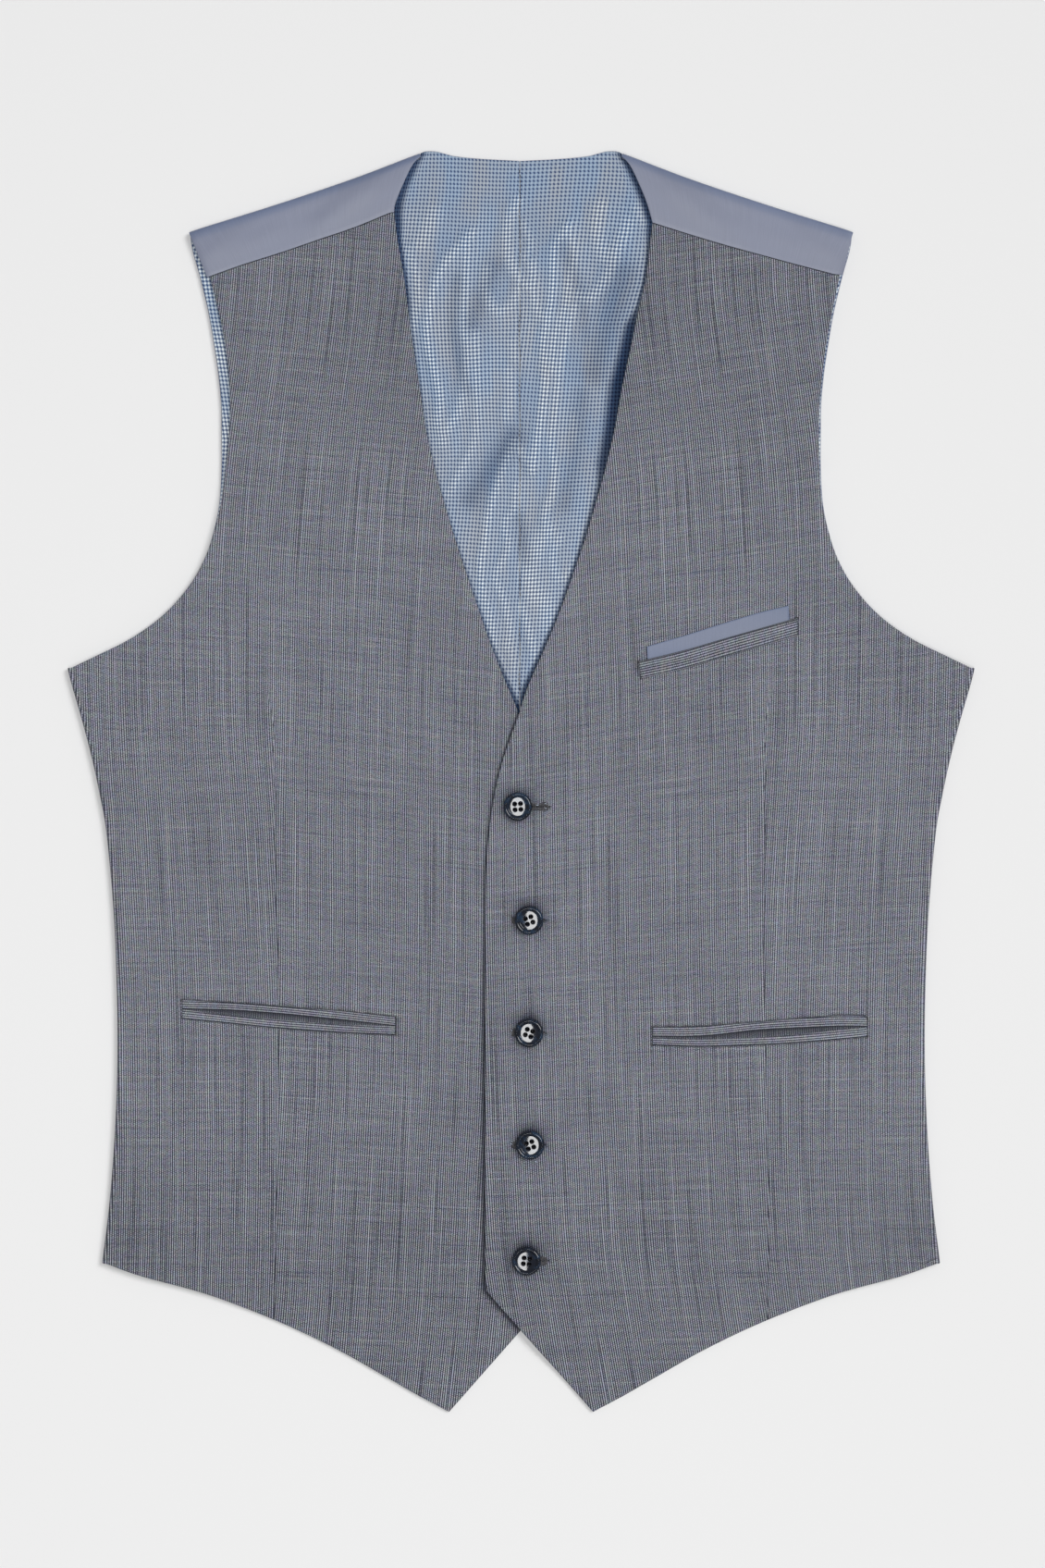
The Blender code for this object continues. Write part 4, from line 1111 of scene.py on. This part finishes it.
def makeLowerPocket(side, word, panel):
    p = lowerPocket
    tops, lips, mouths, bottoms = [pocketLine(side, k) for k in (1, 2, 3, 4)]
    slot = squeezedEnds(between(bottoms, tops, 2), -p["slotSpare"])
    x, y = slot[..., 0], slot[..., 1]
    outer, inner = [pointGrid(x, y, z) for z in p["slotZ"]]
    cutWith(panel, [clothShell("slot", side, outer, inner, [slot * mm], worsted)])

    gap, share = np.array([0, p["gap"]]), even(p["rows"])[:, None]
    for kind, low, high, start in (("Upper", lips, tops - gap, 0), ("Lower", bottoms + gap, mouths, 40.3)):
        flat = squeezedEnds(between(low, high, p["rows"]), p["gap"])
        x, y = flat[..., 0], flat[..., 1]
        rounding = np.sqrt(np.clip(1 - (2 * share - 1) ** 2, 0, 1))
        top = frontTop(x, y, side) + p["proud"] * rounding - p["sunk"]
        grain = np.stack([share * (high - low)[None, :, 1] + start, x + 0 * share], axis=-1) * mm
        node = f"pocket_{word}_{kind}_jetting".lower()
        makeStrip(
            f"pocket{word}{kind}Jetting", side, flat, top, p["thick"], grain, worsted, 0.25,
            ("worsted", node),
        )
    flat = squeezedEnds(between(bottoms + gap, tops - gap, p["facingRows"]), p["gap"])
    x, y = flat[..., 0], flat[..., 1]
    top = frontBase(x, y, side) + frontRelief(x, y, side)
    lip, mouth = lips[None, :, 1], mouths[None, :, 1]  # the shade is deepest under the upper lip
    shade = 0.96 - 0.56 * np.clip((lip - y) / np.maximum(lip - mouth, 1.2), 0, 1)
    makeStrip(
        f"pocket{word}Facing", side, flat, top, p["facingThick"], frontGrain(x, y, side, False), worsted,
        0.1, ("worsted", f"pocket_{word}_facing".lower()),
        {"seam": shade},
    )


makeLowerPocket(1, "Left", frontLeft)
makeLowerPocket(-1, "Right", frontRight)
print("lower pockets made")


# breast pocket

breastPocket = {
    "weltBottom": [(64.6, 55.6), (88.3, 61), (108.3, 67), (128.3, 72.7), (149.7, 78.8)],
    "weltTop": [(63.3, 64.9), (88.3, 71), (108.3, 76.8), (128.3, 82.5), (149.3, 88.5)],
    "satinBottom": [(68.6, 61.9), (88, 67.2), (108, 72.9), (128, 78.6), (145.3, 83.6)],
    "satinTop": [(67.8, 73), (88.3, 79), (108.3, 85.3), (128.3, 91.3), (144.5, 95.1)],
    "columns": 60, "rows": 12, "thick": 0.85, "proud": 0.25, "weltProud": 1.25,
    "weltCut": (0.0105, 0.09, 0.00082), "satinCut": (0.0125, 0.08, 0.00087),
}


def makeBreastPocket():
    b = breastPocket
    share = even(b["rows"])[:, None]

    def band(low, high):
        low, high = [along(b[key], even(b["columns"])) for key in (low, high)]
        flat = between(low, high, b["rows"])
        x, y = flat[..., 0], flat[..., 1]
        return flat, x, frontTop(x, y, 1) + b["proud"] + b["thick"]

    flat, x, top = band("satinBottom", "satinTop")
    run = (x - x.min()) / (x.max() - x.min())
    # the fold mark here darkens the satin all over, and more along its edges and towards its ends as painted
    # shade
    shade = 0.55 + 0.3 * (1 - ease(run + 0.25 * share, 0.1, 0.5)) * (1 - share)
    shade = shade + 0.3 * ease(run, 0.6, 1) * share
    shade[[0, -1]] = 1
    shade[:, [0, -1]] = 1
    makeStrip(
        "breastSatin", 1, flat, top, b["thick"], flat * mm, satin, 0.3, ("satin", "breast_pocket_satin"),
        {"fold": shade},
    )
    flat, x, top = band("weltBottom", "weltTop")
    top = top + b["weltProud"] * ease(share, 0.12, 0.5)
    grain = np.stack([share * 8.6 + 80.2 + 0 * x, x + 0 * share], axis=-1) * mm
    line = np.zeros(x.shape)  # the welt's fold and its seam are deep in shade
    line[-1], line[-2], line[0] = 0.95, 0.22, 0.5
    line[:, [0, -1]] = 0.6
    makeStrip(
        "breastWelt", 1, flat, top, b["thick"], grain, worsted, 0.3, ("worsted", "breast_pocket_welt"),
        {"seam": line},
    )


makeBreastPocket()
print("breast pocket made")


# buttons, shanks and buttonholes

button = {
    "profile": [  # radius, height, from the middle of the dish over the rim to the middle underneath
        (0, 1.7), (1.3, 1.706), (2.6, 1.727), (3.9, 1.763), (4.8, 1.8), (5.1, 1.83), (5.3, 1.96),
        (5.5, 2.22), (5.8, 2.5), (6.15, 2.73), (6.5, 2.875), (6.55, 2.88), (6.6, 2.87), (6.95, 2.7),
        (7.28, 2.44), (7.54, 2.14), (7.7, 1.8), (7.64, 1.35), (7.35, 0.85), (6.8, 0.35), (5.8, 0.05), (0, 0),
    ],
    "places": [  # x, y, turn of the holes, tilt across, tilt along, all as sewn on
        (-1.8, -13.5, 4, 0, 0), (4.3, -74.8, 21, 1.1, 0.3), (4.3, -135.5, -20, -1.1, 0.4),
        (4.8, -196, 20, 1.3, -0.2), (3, -258.5, -8, -2, 0.2),
    ],
    "steps": 72, "holeRadius": 1.38, "holePitch": 3.12, "lift": 0.3, "strand": 0.6, "strandRadius": 0.7,
    "wraps": 8, "wrapHigh": 0.22, "wrapRadius": 0.72,
}

buttonhole = {
    "reach": [(-3, 16), (-5.2, 13.4), (-5.2, 13.2), (-5.2, 13), (-4.2, 15.2)],  # from, to
    "slit": 0.4, "stitchLength": 1.85, "stitchRadius": 0.2, "stitchPitch": 0.46, "stitchProud": 0.16,
    "stitchSunk": 0.1, "eyelet": 1.5, "fan": 34, "bar": 6, "cutWide": 0.5, "cutDeep": 8, "cutZ": 6.4,
}

holes = [(x * button["holePitch"] / 2, y * button["holePitch"] / 2) for x in (-1, 1) for y in (-1, 1)]


def makeButton(number, spot):
    x, y, turn, tiltX, tiltY = spot
    bm = bmesh.new()
    points = [bm.verts.new((r * mm, 0, z * mm)) for r, z in button["profile"]]
    for pair in zip(points, points[1:]):
        bm.edges.new(pair)
    bmesh.ops.spin(
        bm, geom=bm.verts[:] + bm.edges[:], angle=2 * pi, steps=button["steps"], axis=(0, 0, 1),
        cent=(0, 0, 0), use_merge=True,
    )
    bmesh.ops.remove_doubles(bm, verts=bm.verts, dist=1e-6)
    bmesh.ops.recalc_face_normals(bm, faces=bm.faces)
    disc = finished(f"button{number}", bm, horn, "button", f"button_{number}")
    bm = bmesh.new()
    for hole in holes:
        addRod(bm, (*hole, -2), (*hole, 6), button["holeRadius"], 24)
    cutWith(disc, [finished("drill", bm, horn)])
    lie = Matrix.Translation((x * mm, y * mm, (topAt(x, y) + button["lift"]) * mm))
    for angle, axis in ((tiltX, "Y"), (tiltY, "X"), (turn, "Z")):
        lie = lie @ Matrix.Rotation(radians(angle), 4, axis)
    disc.data.transform(lie)
    disc.data.set_sharp_from_angle(angle=radians(50))


def makeShank(number, spot):  # strands of thread from the under front to the holes, wrapped into a post
    b = button
    x, y, turn = spot[:3]
    low, high = topAt(-x, y, -1), topAt(x, y) + b["lift"]
    bm = bmesh.new()
    for hole in holes:
        hole = Matrix.Rotation(radians(turn), 3, "Z") @ Vector((*hole, 0))
        for strand in (-b["strand"], b["strand"]):
            foot = (x + hole.x * 0.2 + strand * 0.4, y + hole.y * 0.2, low - 0.2)
            addRod(bm, foot, (x + hole.x + strand, y + hole.y, high + 0.1), b["strandRadius"], 8)
    for share in even(b["wraps"]):
        z = low + 0.2 + share * (high - low - 0.6)
        addRod(bm, (x, y, z - b["wrapHigh"] / 2), (x, y, z + b["wrapHigh"] / 2), b["wrapRadius"], 16)
    finished(f"buttonShank{number}", bm, blackThread, "thread", f"button_shank_{number}")


def makeButtonhole(number, spot):
    h = buttonhole
    y, (start, end) = spot[1], h["reach"][number - 1]
    slit, stitch, eyelet = h["slit"], h["stitchLength"], h["eyelet"]
    bm = bmesh.new()
    rng = np.random.default_rng(40 + number)

    def sew(footX, footY, headX, headY, lift=0):
        foot = (footX, footY, topAt(footX, footY) + h["stitchProud"] + lift)
        head = (headX, headY, topAt(headX, headY) - h["stitchSunk"] + lift)
        addRod(bm, foot, head, h["stitchRadius"] * rng.uniform(0.8, 1.15))

    eyeX = end - stitch - eyelet
    run = eyeX - start - 0.6
    count = int(run / h["stitchPitch"])
    for layer in range(2):  # two uneven rounds of stitches along both sides of the slit
        for sideways in (-1, 1):
            for k in range(0, count, 1 + layer):
                px = start + 0.6 + (k + rng.uniform(0.1, 0.9)) * run / count
                far = slit / 2 + stitch * rng.uniform(0.55, 1.1)
                near = slit / 2 + stitch * rng.uniform(0, 0.3 + 0.2 * layer)
                sew(px, y + sideways * near, px + rng.uniform(-0.7, 0.7), y + sideways * far, 0.08 * layer)
                if k % 2:  # knots along the slit
                    knotX = px + rng.uniform(-0.2, 0.2)
                    sew(knotX - 0.32, y + sideways * (near - 0.1), knotX + 0.32, y + sideways * near, 0.2)
    for k in range(h["fan"]):  # fanned round the eyelet
        angle = (k / (h["fan"] - 1) - 0.5) * 2 * pi * 0.85 + rng.uniform(-0.08, 0.08)
        near, far = eyelet * rng.uniform(0.35, 0.7), eyelet * 0.5 + stitch * rng.uniform(0.65, 1.15)
        bend = angle + rng.uniform(-0.25, 0.25)
        footX, footY = eyeX + near * cos(angle), y + near * sin(angle)
        sew(footX, footY, eyeX + far * cos(bend), y + far * sin(bend), 0.1 * (k % 2))
    for k in range(h["bar"]):  # bar across the other end
        px = start + 0.1 + k * 0.2
        sew(px, y - 1.5 + rng.uniform(-0.2, 0.2), px + 0.1, y + 1.5 + rng.uniform(-0.2, 0.2), 0.15)
    finished(f"buttonhole{number}", bm, darkThread, "thread")


def slitCutter(number, spot):
    start, end = buttonhole["reach"][number - 1]
    bm = bmesh.new()
    bmesh.ops.create_cube(bm, size=1.0)
    for change, vec in (
        (bmesh.ops.scale, (end - start, buttonhole["cutWide"], buttonhole["cutDeep"])),
        (bmesh.ops.translate, ((start + end) / 2, spot[1], buttonhole["cutZ"])),
    ):
        change(bm, verts=bm.verts, vec=Vector([c * mm for c in vec]))
    return finished(f"cut{number}", bm, worsted)


cutWith(frontLeft, [slitCutter(number, spot) for number, spot in enumerate(button["places"], 1)])
for number, spot in enumerate(button["places"], 1):
    makeButton(number, spot)
    makeShank(number, spot)
    makeButtonhole(number, spot)
print("buttons and buttonholes made")


# stitches along the seams, and the small bars that hold the pocket ends

stitching = {  # pitch, length, radius and stray of each run of stitches
    "shoulder": (1.9, 1.1, 0.2, 0.15), "pocket": (1.05, 0.62, 0.17, 0.06), "centre": (2.7, 1.6, 0.2, 0),
    "centrePale": (7.3, 0.9, 0.2, 0), "shoulderZ": 4.15, "centreZ": 2.3, "bar": (220.8, -259.6, 4.6),
    "tacks": (0, 0.06, 0.12, 0.3, 0.45, 0.6, 0.78, 0.9, 0.96, 1.02), "tackRadius": 0.24, "weltTacks": 4,
    "barRods": 5, "centreEnds": (48, 332),
    "looseEnds": [  # x, y, run across and along, height above the cloth, rise, radius
        (7.4, -204.6, 0.9, -0.7, 0.1, 0.05, 0.22), (8, -12.8, 1.5, 0.25, 0.35, 0, 0.17),
        (12.6, -12, 0.9, 0.35, 0.35, 0, 0.17), (13.6, -14.2, -0.6, -0.5, 0.35, 0, 0.17),
        (-5.6, -134.4, 0.9, 0.3, 0.35, 0, 0.17), (-5.5, -195.3, 0.8, -0.3, 0.35, 0, 0.17),
    ],
}


def runStitches(bm, line, kind, heightAt, rng):
    pitch, length, radius, stray = stitching[kind]
    run = lengthTo(line)
    for at in np.arange(pitch / 2, run[-1] - length, pitch):
        ends = []
        for s in (at, at + length * rng.uniform(0.8, 1.1)):
            x, y = np.interp(s, run, line[:, 0]), np.interp(s, run, line[:, 1]) + rng.uniform(-stray, stray)
            ends.append((x, y, heightAt(x, y)))
        addRod(bm, *ends, radius)


def makeStitching():
    t = stitching
    rng = np.random.default_rng(7)
    dark, pale = bmesh.new(), bmesh.new()
    for side in (1, -1):
        start, end = outline["seamEnds"][side]
        line = lineAt(ofSide(outline["shoulderSeam"], side), start + even(80) * (end - start)) * [side, 1]
        runStitches(dark, line, "shoulder", lambda x, y: t["shoulderZ"], rng)
        for column, shift in ((1, 0.35), (4, -0.35)):
            line = (pocketLine(side, column) + [0, shift]) * [side, 1]
            runStitches(dark, line, "pocket", lambda x, y, s=side: topAt(s * x, y, s), rng)
        stations = lowerPocket["stations"][side]
        for (x, top, _, _, bottom), way in ((min(stations), -1), (max(stations), 1)):
            for k in t["tacks"]:  # across each pocket's ends
                y = bottom + (top - bottom) * k + rng.uniform(-0.15, 0.15)
                z = topAt(x, y, side)
                foot, head = x + way * rng.uniform(-0.4, -0.1), x + way * rng.uniform(0.4, 0.8)
                addRod(dark, (side * foot, y, z + 0.3), (side * head, y, z), t["tackRadius"])
    for (x, y), way in ((breastPocket["weltTop"][0], -1), (breastPocket["weltTop"][-1], 1)):
        z = topAt(x, y) + 0.6
        for k in range(t["weltTacks"]):  # tacks at the welt's top corners
            foot = (x - way * (0.9 - 0.3 * k), y + 0.5 - 0.35 * k, z + 0.5)
            addRod(dark, foot, (x + way * (0.5 - 0.1 * k), y + 0.3 - 0.35 * k, z), t["tackRadius"])
    line = np.stack([np.full(90, back["seamX"]), np.linspace(*t["centreEnds"], 90)], axis=1)
    line[:, 0] += 0.35 * np.sin(line[:, 1] / 5) + 0.2 * np.sin(line[:, 1] / 1.9)
    runStitches(dark, line, "centre", lambda x, y: t["centreZ"], rng)
    runStitches(pale, line + [0.25, 0], "centrePale", lambda x, y: t["centreZ"] + 0.15, rng)
    barX, barY, barZ = t["bar"]
    for k in range(t["barRods"]):  # side tack near the hem
        y = barY + 0.45 * k
        addRod(dark, (barX - 1.6 + k, y, barZ), (barX + k, y + 0.5, barZ), 0.2)
    for x, y, dx, dy, up, rise, radius in t["looseEnds"]:
        z = topAt(x, y) + up
        addRod(pale, (x, y, z), (x + dx, y + dy, z + rise), radius)
    finished("darkStitches", dark, darkThread, "thread")
    finished("paleStitches", pale, paleThread, "thread")


makeStitching()
print("seams stitched")


# floor, light and camera

studio = {  # floorHalf, cameraHeight and the softbox's size and place are in metres
    "floor": colour(0.775, 0.775, 0.775), "floorHalf": 4, "floorBelow": 0.4, "world": 0.306,
    "worldBelow": 0.85, "key": 0.505, "keyFrom": (0.66, 0.4, 0.92), "keySpread": 28, "softbox": 15.5,
    "softboxSize": (0.4, 1.9), "softboxPlace": (0, -0.33, 2.9), "cameraPlace": (0.75, -1.25),
    "cameraHeight": 2, "frameLong": 847.5, "sensor": 36,
}


def makeStudio():
    s = studio
    bm = bmesh.new()
    bmesh.ops.create_grid(bm, x_segments=1, y_segments=1, size=s["floorHalf"])
    bmesh.ops.translate(bm, verts=bm.verts, vec=(0, 0, -s["floorBelow"] * mm))
    values = {"Roughness": 0.9, "Specular IOR Level": 0.1, "Base Color": s["floor"]}
    material, shader = newMaterial("floor", values)
    behind = newNode("NewGeometry").outputs["Backfacing"]
    lightRay = newNode("LightPath").outputs["Is Diffuse Ray"]
    clear = newNode("BsdfTransparent").outputs[0]  # so that light comes from below too
    mixer = newNode("MixShader", {0: calc("MAXIMUM", behind, lightRay), 1: shader.outputs[0], 2: clear})
    wired(material.node_tree.nodes["Material Output"], {"Surface": mixer.outputs[0]})
    finished("floor", bm, material)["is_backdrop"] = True

    world = bpy.data.worlds.new("softWorld")
    world.use_nodes = True
    bpy.context.scene.world = world
    bench["tree"] = world.node_tree
    up = newNode("SeparateXYZ", {"Vector": newNode("TexCoord").outputs["Generated"]}).outputs["Z"]
    strength = remap(up, -0.05, 0.05, s["worldBelow"], s["world"])
    wired(world.node_tree.nodes["Background"], {"Strength": strength, "Color": colour(1.0, 1.0, 1.0)})

    sun = bpy.data.lights.new("keyLight", "SUN")
    sun.energy, sun.angle = s["key"] * pi, radians(s["keySpread"])
    area = bpy.data.lights.new("softbox", "AREA")
    area.shape = "RECTANGLE"
    area.size, area.size_y = s["softboxSize"]
    area.energy = s["softbox"] * pi * area.size * area.size_y
    lens = bpy.data.cameras.new("camera")
    lens.sensor_width = s["sensor"]
    lens.lens = s["sensor"] * s["cameraHeight"] / (s["frameLong"] * mm)
    key, box, camera = [bpy.data.objects.new(data.name, data) for data in (sun, area, lens)]
    key.rotation_euler = Vector(s["keyFrom"]).to_track_quat("Z", "Y").to_euler()
    box.location = s["softboxPlace"]
    camera.location = [c * mm for c in s["cameraPlace"]] + [s["cameraHeight"] + layers["front"] * mm]
    for obj in (key, box, camera):
        bpy.context.scene.collection.objects.link(obj)
    bpy.context.scene.camera = camera
    bpy.context.scene.view_settings.view_transform = "Standard"


makeStudio()
print("floor, light and camera set")

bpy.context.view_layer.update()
triangles = sum(len(p.vertices) - 2 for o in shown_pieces() for p in o.data.polygons)
print("triangles shown:", triangles)
